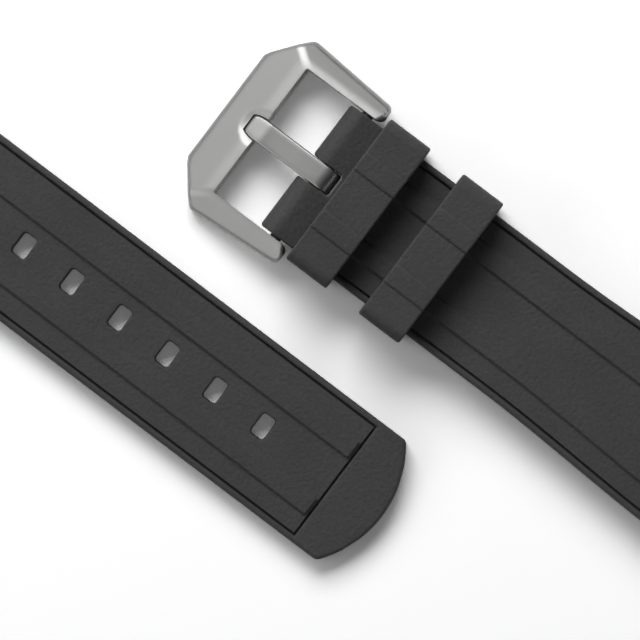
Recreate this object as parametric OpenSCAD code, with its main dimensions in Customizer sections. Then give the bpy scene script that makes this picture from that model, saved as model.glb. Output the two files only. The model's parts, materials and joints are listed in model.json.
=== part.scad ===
// Rubber watch strap in two halves: a tail half with pin holes, and a buckle half with a steel
// pin buckle, a fixed keeper and a sliding keeper. A sprung bar sits in the buckle and in each lug end.
// The halves lie side by side, faces up, as they leave their pouch. Millimetres, +Z up, floor at 0.

/* [Rubber band] */
// Width of both halves from the buckle to where they flare
band_w = 20; // [16:0.5:26]
// Width of both halves between the watch lugs
lug_w = 22; // [18:0.5:28]
// Length of the tail half, tip to lug end
tail_len = 120; // [112:1:140]
// Length of the buckle half, pivot to lug end
head_len = 75; // [68:1:95]
// Thickness of the tail half at its holes
tail_t = 2.8; // [2.2:0.1:3.6]
// Thickness of the buckle half under its keepers
head_t = 3.2; // [2.6:0.1:3.8]
// Thickness of both halves at the lugs
lug_t = 4.7; // [4:0.1:5.5]
// Length over which a half flares and thickens
flare_len = 32; // [20:1:34]
// Length of full lug width at the end of a half
lug_straight = 9; // [7:0.5:12]
// Rounding of the upper long edges
edge_r = 0.5; // [0.2:0.05:0.8]
// Rounding of the lower long edges
under_r = 0.4; // [0.2:0.05:0.7]

/* [Ribbed face] */
// Width of the smooth rim along each edge
rim_w = 0.87; // [0.7:0.01:1.2]
// Width of the fine groove inside the rim
groove_w = 0.3; // [0.2:0.01:0.5]
// Depth of the fine groove
groove_d = 0.45; // [0.2:0.05:0.7]
// Distance from the band's edge to the foot of a raised rib
rib_inset = 3.5; // [2.6:0.1:4]
// Width of the flat strip between the two ribs
mid_w = 6; // [4.6:0.1:7]
// Height of a raised rib
rib_h = 0.3; // [0.15:0.05:0.5]
// Plan width of a rib's sloping wall
rib_slope = 0.6; // [0.3:0.05:0.9]

/* [Tail tip and holes] */
// Length of the smooth tip block
tip_block = 7.75; // [6:0.05:10]
// Radius of the tip's round end
tip_r = 15.9; // [14:0.1:24]
// Rounding of the tip's two corners
tip_corner_r = 1; // [0.5:0.1:2]
// Number of pin holes
hole_count = 8; // [5:1:8]
// Distance from hole to hole
hole_pitch = 8; // [6:0.25:8]
// Distance from the tip to the nearest hole's middle
hole_first = 19.9; // [16:0.1:22]
// Size of a hole along the band
hole_l = 2.4; // [2:0.1:3]
// Size of a hole across the band
hole_w = 3.55; // [3.4:0.05:4.2]
// Corner rounding of a hole
hole_r = 0.5; // [0.2:0.05:0.9]

/* [Ears round the pivot] */
// Half thickness of the rubber ears
ear_r = 2.2; // [1.9:0.05:2.4]
// Rubber ahead of the pivot
nose_len = 2.63; // [2.5:0.01:3]
// Distance behind the pivot where the hump has run out
hump_len = 4.6; // [4:0.1:5.4]
// Distance behind the pivot where the ribbed face starts
field_start = 6.2; // [5.8:0.1:7]
// Free space at each side of the tang in its notch
notch_gap = 0.2; // [0.1:0.05:0.5]
// Free space behind the tang's eye in its notch
notch_back = 0.2; // [0.1:0.05:0.4]
// Corner rounding in the notch
notch_r = 0.5; // [0.2:0.05:0.6]
// Corner rounding of the ears seen from above
ear_corner_r = 0.45; // [0.3:0.05:1]

/* [Keepers] */
// Length of a keeper along the band
keeper_l = 6.7; // [5:0.1:8]
// Wall of a keeper
keeper_t = 1.4; // [1:0.05:1.8]
// Outer corner rounding of a keeper
keeper_r = 1.6; // [1:0.1:2.4]
// Inner corner rounding of a keeper
keeper_in_r = 0.5; // [0.3:0.05:0.9]
// Free space between a keeper and each band edge
keeper_gap = 0.17; // [0.1:0.01:0.4]
// Free space between a keeper's floor and the band
seat_gap = 0.1; // [0.05:0.01:0.3]
// Free height over both bands when the tail is threaded
thread_gap = 0.4; // [0.2:0.05:1]
// Distance from the pivot to the fixed keeper
fixed_x = 2.8; // [2.7:0.05:3.4]
// Distance from the pivot to the sliding keeper
sliding_x = 14.87; // [13.5:0.1:22]
// Rise of the bands on a keeper's top
keeper_rib_h = 0.25; // [0.1:0.05:0.4]

/* [Buckle frame] */
// Length from the pivot to the front edge
frame_len = 16.25; // [14.5:0.05:20]
// Width of the front bar along the band
front_w = 6.2; // [5:0.05:7]
// Free space between an arm and the band's edge
frame_gap = 0.33; // [0.2:0.01:0.5]
// Width of an arm at the front
arm_w = 3.74; // [3:0.05:5]
// Width of an arm at its end
arm_end_w = 2.67; // [2.4:0.05:3]
// Radius of an arm's end seen from the side
arm_end_r = 2.3; // [2:0.05:2.35]
// Corner rounding of an arm's end seen from above
arm_corner_r = 1; // [0.5:0.1:1.4]
// Rounding of an arm's inner end corner seen from above
arm_inner_r = 0.9; // [0.3:0.1:0.9]
// Length of the cut corner along the arm
cut_l = 4.55; // [3:0.05:5.5]
// Length of the cut corner across the front
cut_w = 5.4; // [3:0.05:7]
// Height of the flat top above the pivot
frame_top = 1.85; // [1.6:0.05:1.9]
// Depth of the underside below the pivot at the front
frame_under = 1.5; // [1.2:0.05:2]
// Slope of the front facet, degrees
front_slope = 21; // [8:0.5:21]
// Slope of an arm's facet, degrees
arm_slope = 29; // [10:0.5:29]
// Width of the bevel along the window
window_bevel = 0.1; // [0.1:0.05:0.4]
// Width of the bevel round the underside
under_bevel = 0.35; // [0.2:0.05:0.6]
// Depth of a bar hole in an arm
bar_hole_d = 1.07; // [1.02:0.01:1.3]

/* [Tang] */
// Width of the tang
tang_w = 3.24; // [2.6:0.02:3.3]
// Thickness of the tang's strip
tang_t = 1.25; // [1:0.05:1.25]
// Length from the pivot to the tang's point
tang_len = 11.96; // [11:0.02:15]
// Length of the bent point
tang_point = 2.6; // [1.8:0.1:3]
// Drop of the bent point
tang_drop = 0.55; // [0.3:0.05:0.7]
// Corner rounding of the point seen from above
tang_corner_r = 0.6; // [0.3:0.05:0.9]
// Free space round the tang in the frame's recess
recess_gap = 0.05; // [0.04:0.01:0.1]
// Free space at the sides and point of the tang in the recess
recess_side = 0.1; // [0.05:0.01:0.2]
// Width of the dished border of the recess
dish_w = 0.85; // [0.4:0.05:1.2]
// Depth of the dished border at the tang
dish_d = 0.2; // [0.1:0.02:0.3]
// Width of the slit under the curled eye
curl_slit = 0.16; // [0.1:0.02:0.3]

/* [Sprung bars] */
// Radius of a bar's tube
tube_r = 0.9; // [0.85:0.01:0.92]
// Wall of the tube
tube_wall = 0.2; // [0.15:0.01:0.24]
// Radius of the end of a bar that enters a hole
tip_pin_r = 0.5; // [0.45:0.01:0.55]
// Length of the end of a bar that enters a hole
tip_pin_l = 0.9; // [0.7:0.05:1]
// Thickness of a tip's shoulder
shoulder_t = 0.6; // [0.4:0.05:0.8]
// Radius of a tip's shoulder
shoulder_r = 0.82; // [0.7:0.01:0.84]
// Radius of a tip's neck
neck_r = 0.42; // [0.38:0.01:0.45]
// Length of a tip's head inside the tube
head_l = 0.9; // [0.6:0.1:1.2]
// Travel of a tip
tip_travel = 1; // [0.9:0.05:1.1]
// Radial running clearance of the bars
run_gap = 0.05; // [0.03:0.01:0.06]
// Radius of the spring's wire
wire_r = 0.12; // [0.08:0.01:0.15]
// Turns of a spring
spring_turns = 12; // [8:1:16]

/* [Lay] */
// How far the tail's tip lies ahead of the pivot
tip_ahead = 33.8; // [20:0.1:45]
// Free space between the two halves
lay_gap = 7.2; // [4:0.1:12]

/* [Hidden] */
$fn = 48;

// Colours
rubber = [0.22, 0.22, 0.225];
steel = [0.66, 0.65, 0.63];
bar_steel = [0.75, 0.75, 0.76];

// How far a cutter reaches past what it cuts
over = 1;

// Fine details of the rubber: run of the groove's steep walls, plain block at a lug end, length of
// a lug end that its round end takes, steps along the flare
wall_run = 0.04;
lug_block = 7.4;
lug_cap = 0.9;
flare_steps = 12;

// Fine details of the tang: lift of its underside at the eye, run in which the strip rises to the
// eye, flat left on the eye's top, height and length of the point's worn edge, place of the slit
eye_lift = 0.35;
eye_run = 1.2;
eye_flat = 0.6;
eye_skim = 0.06;
nib_h = 0.3;
nib_l = 0.35;
slit_angle = 38;
slit_drop = 0.28;

// Fine details of the sprung bars: crimp of the tube, chamfers, end play, gap to the faces
crimp = 0.3;
tube_chamfer = 0.15;
tip_chamfer = 0.12;
end_play = 0.05;
coil_play = 0.07;
face_play = 0.02;
tube_play = 0.1;
coil_facets = 8;
wire_facets = 5;

// Levels of the buckle half above the floor
seat_z = keeper_t + seat_gap;
face_z = seat_z + head_t;
bar_z = seat_z + ear_r;
lug_z = lug_t / 2;

// Keeper sizes that follow the bands
keeper_half = band_w / 2 + keeper_gap + keeper_t;
keeper_room = seat_gap + head_t + tail_t + 2 * rib_h + thread_gap;
keeper_h = keeper_room + 2 * keeper_t;

// Frame sizes that follow the band
window_half = band_w / 2 + frame_gap;
frame_half = window_half + arm_w;
window_x = front_w - frame_len;

// The frame hangs from its pivot until its front edge is down on the floor
floor_gap = 0.1;
frame_tilt = asin((bar_z - floor_gap) / norm([frame_len, frame_under])) - atan2(frame_under, frame_len);

// Tang and notch
eye_r = tube_r + run_gap + tang_t;
strip_top = frame_top;
strip_low = strip_top - tang_t;
notch_half = tang_w / 2 + notch_gap;
notch_x = eye_r + notch_back;

// Places of the lug bars along each half
lug_bar_x = head_len - lug_t / 2;
tail_bar_x = tip_ahead - tail_len + lug_t / 2;

// The halves lie apart by the wider of their two neighbours
halves_apart = max(lug_w, frame_half + band_w / 2) + lay_gap;

// The origin is under the middle of everything
low_x = tip_ahead - tail_len;
high_x = head_len;
low_y = -halves_apart - lug_w / 2 - tip_pin_l;
high_y = max(frame_half, lug_w / 2 + tip_pin_l);
mid_x = (low_x + high_x) / 2;
mid_y = (low_y + high_y) / 2;

// Share of a smooth step that starts and ends level
function smooth(t) = let (c = min(1, max(0, t))) c * c * (3 - 2 * c);

// Points of an arc from angle a0 to angle a1, both included
function arc(x, y, r, a0, a1, n) =
    [for (i = [0:n]) let (a = a0 + (a1 - a0) * i / n) [x + r * cos(a), y + r * sin(a)]];

// Outline of a rectangle with round corners, centred on the origin
function round_rect(l, w, r, n = 5) = concat(
    arc(l / 2 - r, w / 2 - r, r, 0, 90, n),
    arc(r - l / 2, w / 2 - r, r, 90, 180, n),
    arc(r - l / 2, r - w / 2, r, 180, 270, n),
    arc(l / 2 - r, r - w / 2, r, 270, 360, n));

// How far a half has flared, at distance d from its lug end
function flare(d) = smooth((flare_len + lug_straight - d) / flare_len);

// Half width of a half at distance d from its lug end
function half_at(d) = (band_w + (lug_w - band_w) * flare(d)) / 2;

// One side of a half's face: edge, groove, plateau, rib. A sunk field lies at the groove's depth.
function face_side(half, z0, z1, rib, groove, sunk) = [
    [half, z1 - edge_r],
    [half - 0.29 * edge_r, z1 - 0.29 * edge_r],
    [half - edge_r, z1],
    [half - rim_w, z1],
    [half - rim_w - wall_run, z1 - groove],
    [half - rim_w - groove_w + wall_run, z1 - groove],
    [half - rim_w - groove_w, z1 - sunk],
    [half - rib_inset, z1 - sunk],
    [half - rib_inset - rib_slope, z1 - sunk + rib],
    [mid_w / 2 + rib_slope, z1 - sunk + rib],
    [mid_w / 2, z1 - sunk]];

// Cross-section of a half at x, as a closed ring of points
function ring(x, half, z0, z1, rib, groove, sunk) =
    let (side = face_side(half, z0, z1, rib, groove, sunk), n = len(side))
    [for (p = concat(
        [for (i = [0:n - 1]) side[i]],
        [for (i = [n - 1:-1:0]) [-side[i][0], side[i][1]]],
        [[-half, z0 + under_r], [-half + under_r, z0], [half - under_r, z0], [half, z0 + under_r]]))
        [x, p[0], p[1]]];

// Stations of one half, measured from its lug end, with the ribbed face between two blocks
function stations(total, block) = concat(
    [[-over, 0, 0, 0], [lug_block, 0, 0, 0],
        [lug_block + wall_run, 0, groove_d, groove_d],
        [lug_block + groove_w - wall_run, 0, groove_d, groove_d],
        [lug_block + groove_w, 0, groove_d, 0],
        [lug_block + groove_w + rib_slope, rib_h, groove_d, 0]],
    [for (i = [0:flare_steps]) [lug_straight + flare_len * i / flare_steps, rib_h, groove_d, 0]],
    [[total - block - groove_w - rib_slope, rib_h, groove_d, 0],
        [total - block - groove_w, 0, groove_d, 0],
        [total - block - groove_w + wall_run, 0, groove_d, groove_d],
        [total - block - wall_run, 0, groove_d, groove_d],
        [total - block, 0, 0, 0]]);

// Skin through a list of rings, with flat ends
module loft(rings) {
    n = len(rings[0]);
    m = len(rings);
    points = [for (r = rings) each r];
    sides = [for (j = [0:m - 2]) for (i = [0:n - 1]) let (
        a = j * n + i,
        b = j * n + (i + 1) % n,
        c = a + n,
        d = b + n) each [[a, d, b], [a, c, d]]];
    first = [for (i = [0:n - 1]) i];
    last = [for (i = [n - 1:-1:0]) (m - 1) * n + i];
    polyhedron(points = points, faces = concat([first, last], sides));
}

// Prism of a side outline, drawn in x and z, as wide as w
module side_prism(outline, w) {
    translate([0, w / 2, 0]) rotate([90, 0, 0]) linear_extrude(w) polygon(outline);
}

// Side outline that rounds a half's lug end: the barrel's centre is at 0, the band runs to +x
function lug_round(reach) = concat(
    [[reach, 2 * lug_t], [lug_cap, 2 * lug_t], [lug_cap, lug_t]],
    arc(0, lug_z, lug_t / 2, 90, 270, 16),
    [[lug_cap, 0], [lug_cap, -over], [reach, -over]]);

// Body of the tail half, with its lug end at x = 0 and its tip at x = tail_len
module tail_body() {
    corner_y = band_w / 2 - tip_corner_r;
    arc_x = tail_len - tip_r;
    corner_x = arc_x + sqrt(pow(tip_r - tip_corner_r, 2) - pow(corner_y, 2));
    turn = atan2(corner_y, corner_x - arc_x);
    plan = concat(
        [[-over, -lug_w], [corner_x - tip_block / 2, -lug_w], [corner_x - tip_block / 2, -band_w / 2]],
        arc(corner_x, -corner_y, tip_corner_r, -90, -turn, 5),
        arc(arc_x, 0, tip_r, -turn, turn, 24),
        arc(corner_x, corner_y, tip_corner_r, turn, 90, 5),
        [[corner_x - tip_block / 2, band_w / 2], [corner_x - tip_block / 2, lug_w], [-over, lug_w]]);
    rings = [for (s = concat(stations(tail_len, tip_block), [[tail_len + over, 0, 0, 0]]))
        ring(s[0], half_at(s[0]), 0, tail_t + (lug_t - tail_t) * flare(s[0]), s[1], s[2], s[3])];
    intersection() {
        loft(rings);
        translate([0, 0, -over]) linear_extrude(2 * lug_t) polygon(plan);
        translate([lug_t / 2, 0, 0]) side_prism(lug_round(2 * tail_len), 2 * lug_w);
    }
}

// One pin hole through the tail half
module pin_hole() {
    translate([0, 0, -over]) linear_extrude(tail_t + 3 * over) polygon(round_rect(hole_l, hole_w, hole_r));
}

module tail_strap() {
    color(rubber) translate([low_x - mid_x, -halves_apart - mid_y, 0]) difference() {
        tail_body();
        for (i = [0:hole_count - 1]) {
            translate([tail_len - hole_first - i * hole_pitch, 0, 0]) pin_hole();
        }
        translate([lug_t / 2, 0, lug_z]) bar_bore(lug_w);
    }
}

// Bore for a sprung bar, along y
module bar_bore(w) {
    rotate([90, 0, 0]) cylinder(r = tube_r + run_gap, h = w + 2 * over, center = true);
}

// Rubber hump round the pivot, in side view
function hump_outline() =
    let (cx = ear_r - nose_len,
        dx = hump_len - cx,
        dz = face_z - bar_z,
        turn = atan2(dz, dx) + acos(ear_r / norm([dx, dz])))
    concat(
        arc(cx, bar_z, ear_r, 270, turn, 20),
        [[hump_len, face_z], [hump_len + over / 2, face_z], [hump_len + over / 2, seat_z]]);

// Plan of the ears with their outer corners rounded
function ear_plan() =
    let (half = band_w / 2, r = ear_corner_r, far = hump_len + over)
    concat(
        [[far, -half]],
        [[far, half]],
        arc(r - nose_len, half - r, r, 90, 180, 5),
        arc(r - nose_len, r - half, r, 180, 270, 5));

// Plan of the notch that takes the tang
function notch_plan() = concat(
    [[-nose_len - over, -notch_half]],
    arc(notch_x - notch_r, notch_r - notch_half, notch_r, -90, 0, 5),
    arc(notch_x - notch_r, notch_half - notch_r, notch_r, 0, 90, 5),
    [[-nose_len - over, notch_half]]);

// Body of the buckle half behind the ears, with its lug end at x = 0, running to +x
module head_body() {
    block = field_start;
    rings = [for (s = concat(stations(head_len, block), [[head_len - hump_len, 0, 0, 0]]))
        ring(s[0], half_at(s[0]), seat_z * (1 - flare(s[0])), face_z + (lug_t - face_z) * flare(s[0]),
            s[1], s[2], s[3])];
    intersection() {
        loft(rings);
        translate([lug_t / 2, 0, 0]) side_prism(lug_round(2 * head_len), 2 * lug_w);
    }
}

module buckle_strap() {
    color(rubber) translate([-mid_x, -mid_y, 0]) difference() {
        union() {
            translate([head_len, 0, 0]) rotate([0, 0, 180]) head_body();
            intersection() {
                side_prism(hump_outline(), 2 * lug_w);
                linear_extrude(bar_z + 2 * ear_r) polygon(ear_plan());
            }
        }
        translate([0, 0, -over]) linear_extrude(bar_z + 2 * ear_r) polygon(notch_plan());
        translate([0, 0, bar_z]) bar_bore(band_w);
        translate([lug_bar_x, 0, lug_z]) bar_bore(lug_w);
    }
}

// Cross-section of a keeper, in y and z, with bands that follow the ribs below
function keeper_outline() =
    let (h = keeper_half, r = keeper_r, t = keeper_h, k = keeper_rib_h,
        foot = band_w / 2 - rib_inset, in_foot = mid_w / 2)
    concat(
        arc(h - r, t - r, r, 0, 90, 6),
        [[foot, t], [foot - rib_slope, t + k], [in_foot + rib_slope, t + k], [in_foot, t]],
        [[-in_foot, t], [-in_foot - rib_slope, t + k], [rib_slope - foot, t + k], [-foot, t]],
        arc(r - h, t - r, r, 90, 180, 6),
        arc(r - h, r, r, 180, 270, 6),
        arc(h - r, r, r, 270, 360, 6));

// A keeper that starts at x = 0
module keeper() {
    rotate([90, 0, 90]) linear_extrude(keeper_l) difference() {
        polygon(keeper_outline());
        translate([0, keeper_h / 2]) polygon(round_rect(band_w + 2 * keeper_gap, keeper_room, keeper_in_r));
    }
}

module fixed_keeper() {
    color(rubber) translate([fixed_x - mid_x, -mid_y, 0]) keeper();
}

module sliding_keeper() {
    color(rubber) translate([sliding_x - mid_x, -mid_y, 0]) keeper();
}

// Places a piece of the buckle on the pivot, hanging down to the floor
module on_pivot() {
    translate([-mid_x, -mid_y, bar_z]) rotate([0, -frame_tilt, 0]) children();
}

// Outer plan of the frame
function frame_plan() =
    let (end_half = window_half + arm_end_w,
        slope = atan2(arm_w - arm_end_w, frame_len + arm_end_r - cut_l),
        r = arm_corner_r,
        cut_y = frame_half - cut_w)
    concat(
        [[-frame_len, cut_y], [-frame_len, -cut_y], [cut_l - frame_len, -frame_half]],
        arc(arm_end_r - r, r - end_half, r, 270 + slope, 360, 6),
        arc(arm_end_r - r, end_half - r, r, 0, 90 - slope, 6),
        [[cut_l - frame_len, frame_half]]);

// Side outline of the frame: flat top, round arm ends, underside rising to the front
function frame_side() =
    let (a = asin(frame_top / arm_end_r),
        b = atan2(arm_end_r - frame_under, frame_len))
    concat(
        [[-frame_len, frame_top]],
        arc(0, 0, arm_end_r, a, -90 - b, 14),
        [[under_bevel - frame_len, -frame_under], [-frame_len, under_bevel - frame_under]]);

// Half space above a slope that falls away from the window
module slope_cut(angle) {
    rotate([0, angle, 0]) translate([0, -3 * band_w, 0]) cube([2 * frame_len, 6 * band_w, frame_len]);
}

// Recess in the front bar, with its dished border
module tang_recess() {
    w = tang_w + 2 * recess_side;
    l = tang_len + recess_side + window_x;
    floor_z = strip_low - recess_gap;
    translate([window_x - l, -w / 2, floor_z]) cube([l + over, w, frame_top]);
    translate([window_x - window_bevel, 0, frame_top]) rotate([0, -front_slope, 0]) hull() {
        translate([-l, -w / 2, -dish_d]) cube([l + over, w, frame_top]);
        translate([-l - dish_w, -w / 2 - dish_w, 0]) cube([l + over + dish_w, w + 2 * dish_w, frame_top]);
    }
}

// Plan of the window, which opens out round the inner corners of the arms' ends
function window_plan() =
    let (h = window_half, r = arm_inner_r, end = arm_end_r)
    concat(
        [[window_x, h]],
        arc(end - r, h + r, r, 270, 360, 6),
        [[end + over, h + r], [end + over, -h - r]],
        arc(end - r, -h - r, r, 0, 90, 6),
        [[window_x, -h]]);

module buckle_frame() {
    color(steel) on_pivot() difference() {
        intersection() {
            translate([0, 0, -frame_len / 2]) linear_extrude(frame_len) polygon(frame_plan());
            side_prism(frame_side(), 4 * frame_half);
        }
        translate([0, 0, -frame_len / 2]) linear_extrude(frame_len) polygon(window_plan());
        translate([window_x - window_bevel, 0, frame_top]) mirror([1, 0, 0]) slope_cut(front_slope);
        for (side = [-1, 1]) {
            translate([0, side * (window_half + window_bevel), frame_top])
                rotate([0, 0, side * 90]) slope_cut(arm_slope);
            translate([0, side * window_half, 0]) rotate([side * 90, 0, 0])
                cylinder(r = tip_pin_r + run_gap, h = 2 * bar_hole_d, center = true);
        }
        tang_recess();
    }
}

// Side outline of the tang's strip, from the eye to the point
function tang_side() = [
    [0, strip_low + eye_lift],
    [-eye_r - eye_run, strip_low],
    [-tang_len, strip_low],
    [-tang_len, strip_top - tang_drop - nib_h],
    [nib_l - tang_len, strip_top - tang_drop],
    [tang_point - tang_len, strip_top],
    [-eye_r - eye_run, strip_top],
    [-eye_flat, eye_r - eye_skim],
    [0, eye_r - eye_skim]];

module buckle_tang() {
    color(steel) on_pivot() difference() {
        union() {
            intersection() {
                side_prism(tang_side(), tang_w);
                translate([-tang_len / 2, 0, -tang_len / 2]) linear_extrude(tang_len)
                    polygon(round_rect(tang_len, tang_w, tang_corner_r));
            }
            rotate([90, 0, 0]) cylinder(r = eye_r, h = tang_w, center = true);
        }
        bar_bore(tang_w);
        rotate([0, slit_angle, 0]) translate([-2 * eye_r, -tang_w, -slit_drop])
            cube([2 * eye_r - tube_r / 2, 2 * tang_w, curl_slit]);
    }
}

// Sprung bar sizes for a gap of w between the faces that it springs into
function tube_half(w) = w / 2 - shoulder_t - tip_travel - tube_play;

// Tube of a bar, along y, its ends crimped round the necks
module bar_tube(w) {
    h = tube_half(w);
    in_r = tube_r - tube_wall;
    mouth_r = neck_r + run_gap;
    rotate([90, 0, 0]) rotate_extrude() polygon([
        [tube_r, tube_chamfer - h], [tube_r, h - tube_chamfer], [tube_r - tube_chamfer, h], [mouth_r, h],
        [mouth_r, h - crimp], [in_r, h - crimp], [in_r, crimp - h],
        [mouth_r, crimp - h], [mouth_r, -h], [tube_r - tube_chamfer, -h]]);
}

// Tip of a bar on its +y side: head, neck, shoulder and the end that enters the hole
module bar_tip(w) {
    h = tube_half(w);
    head_r = tube_r - tube_wall - run_gap;
    head_y = h - crimp - end_play;
    face_y = w / 2 - face_play;
    end_y = w / 2 + tip_pin_l;
    rotate([-90, 0, 0]) rotate_extrude() polygon([
        [0, head_y - head_l], [head_r, head_y - head_l], [head_r, head_y], [neck_r, head_y],
        [neck_r, w / 2 - shoulder_t], [shoulder_r, w / 2 - shoulder_t],
        [shoulder_r, face_y], [tip_pin_r, face_y],
        [tip_pin_r, end_y - tip_chamfer], [tip_pin_r - tip_chamfer, end_y], [0, end_y]]);
}

// Coil of a bar between the two heads
module bar_spring(w) {
    h = tube_half(w) - crimp - head_l - coil_play - wire_r;
    coil_r = tube_r - tube_wall - run_gap - wire_r;
    steps = coil_facets * spring_turns;
    rings = [for (i = [0:steps])
        let (a = 360 * i / coil_facets, y = -h + 2 * h * i / steps)
        [for (k = [1:wire_facets]) let (b = 360 * k / wire_facets, r = coil_r + wire_r * cos(b))
            [r * cos(a), y + wire_r * sin(b), r * sin(a)]]];
    loft(rings);
}

// Places a piece of a bar on the pivot, or on the lug bar of the tail or the buckle half
module at_pivot() {
    translate([-mid_x, -mid_y, bar_z]) children();
}

module at_tail_lug() {
    translate([tail_bar_x - mid_x, -halves_apart - mid_y, lug_z]) children();
}

module at_buckle_lug() {
    translate([lug_bar_x - mid_x, -mid_y, lug_z]) children();
}

module pivot_bar_tube() {
    color(bar_steel) at_pivot() bar_tube(2 * window_half);
}

module pivot_bar_tip_left() {
    color(bar_steel) at_pivot() bar_tip(2 * window_half);
}

module pivot_bar_tip_right() {
    color(bar_steel) at_pivot() mirror([0, 1, 0]) bar_tip(2 * window_half);
}

module pivot_bar_spring() {
    color(bar_steel) at_pivot() bar_spring(2 * window_half);
}

module tail_lug_bar_tube() {
    color(bar_steel) at_tail_lug() bar_tube(lug_w);
}

module tail_lug_bar_tip_left() {
    color(bar_steel) at_tail_lug() bar_tip(lug_w);
}

module tail_lug_bar_tip_right() {
    color(bar_steel) at_tail_lug() mirror([0, 1, 0]) bar_tip(lug_w);
}

module tail_lug_bar_spring() {
    color(bar_steel) at_tail_lug() bar_spring(lug_w);
}

module buckle_lug_bar_tube() {
    color(bar_steel) at_buckle_lug() bar_tube(lug_w);
}

module buckle_lug_bar_tip_left() {
    color(bar_steel) at_buckle_lug() bar_tip(lug_w);
}

module buckle_lug_bar_tip_right() {
    color(bar_steel) at_buckle_lug() mirror([0, 1, 0]) bar_tip(lug_w);
}

module buckle_lug_bar_spring() {
    color(bar_steel) at_buckle_lug() bar_spring(lug_w);
}

tail_strap();
buckle_strap();
fixed_keeper();
sliding_keeper();
buckle_frame();
buckle_tang();
pivot_bar_tube();
pivot_bar_tip_left();
pivot_bar_tip_right();
pivot_bar_spring();
tail_lug_bar_tube();
tail_lug_bar_tip_left();
tail_lug_bar_tip_right();
tail_lug_bar_spring();
buckle_lug_bar_tube();
buckle_lug_bar_tip_left();
buckle_lug_bar_tip_right();
buckle_lug_bar_spring();
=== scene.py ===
"""A rubber watch strap with a steel pin buckle: its visible surfaces, materials and studio."""

import json
import math

import bmesh
import bpy
import numpy as np
from bpy.props import FloatProperty, FloatVectorProperty, IntProperty, PointerProperty
from bpy.types import Operator, Panel, PropertyGroup
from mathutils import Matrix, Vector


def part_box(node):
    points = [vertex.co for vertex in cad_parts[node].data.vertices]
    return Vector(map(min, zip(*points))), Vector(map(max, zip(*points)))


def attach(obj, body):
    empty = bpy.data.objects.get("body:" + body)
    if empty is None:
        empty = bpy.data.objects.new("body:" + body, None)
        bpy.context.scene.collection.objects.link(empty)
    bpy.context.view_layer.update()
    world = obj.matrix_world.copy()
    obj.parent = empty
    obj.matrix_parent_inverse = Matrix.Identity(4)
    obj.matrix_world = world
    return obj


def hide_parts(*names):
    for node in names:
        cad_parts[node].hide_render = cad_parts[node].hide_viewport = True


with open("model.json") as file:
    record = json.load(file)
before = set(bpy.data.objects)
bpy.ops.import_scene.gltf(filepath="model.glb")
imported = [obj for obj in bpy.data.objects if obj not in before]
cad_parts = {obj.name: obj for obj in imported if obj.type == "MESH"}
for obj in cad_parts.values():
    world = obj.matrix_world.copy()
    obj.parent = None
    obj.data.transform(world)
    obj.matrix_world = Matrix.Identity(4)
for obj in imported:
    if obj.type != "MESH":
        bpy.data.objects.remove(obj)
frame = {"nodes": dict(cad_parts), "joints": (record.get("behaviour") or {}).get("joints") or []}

bl_info = {
    "name": "Rubber Watch Strap",
    "version": (1, 0, 0),
    "blender": (4, 5, 0),
    "location": "3D View > Sidebar > Watch Strap",
    "description": "Makes the rubber halves, keepers, buckle and studio of a watch strap",
    "category": "Object",
}

MM = 0.001
WELD = 0.0001 * MM  # points nearer than this become one
SHARP_ANGLE = math.radians(38)  # edges that turn by more stay sharp
PAST_GROOVE = 0.3 * MM  # how far into the field the groove's fine lines go
FACE, LUG, BACK, NOSE = range(4)  # parts of the buckle half's outline from the side
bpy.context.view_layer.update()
PIVOT = np.array(next(j["pos_m"] for j in frame["joints"] if j["name"] == "frame_hinge"))


# Sizes and colours


def srgb(code):
    """Linear red, green and blue of a hex colour."""
    parts = [int(code[i : i + 2], 16) / 255 for i in (1, 3, 5)]
    return tuple(c / 12.92 if c <= 0.04045 else ((c + 0.055) / 1.055) ** 2.4 for c in parts)


def length(name, about, size):
    """A property that holds a length, given in millimetres."""
    return FloatProperty(
        name=name, description=about, default=size * MM, min=0.0, unit="LENGTH", precision=5
    )


def angle(name, about, degrees):
    """A property that holds an angle, given in degrees."""
    return FloatProperty(
        name=name, description=about, default=math.radians(degrees), min=0.0, unit="ROTATION"
    )


def amount(name, about, value):
    """A property that holds a plain number."""
    return FloatProperty(name=name, description=about, default=value, min=0.0)


def colour(name, about, code):
    """A property that holds a colour, given in hex."""
    return FloatVectorProperty(
        name=name, description=about, default=srgb(code), min=0.0, max=1.0, size=3, subtype="COLOR"
    )


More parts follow.
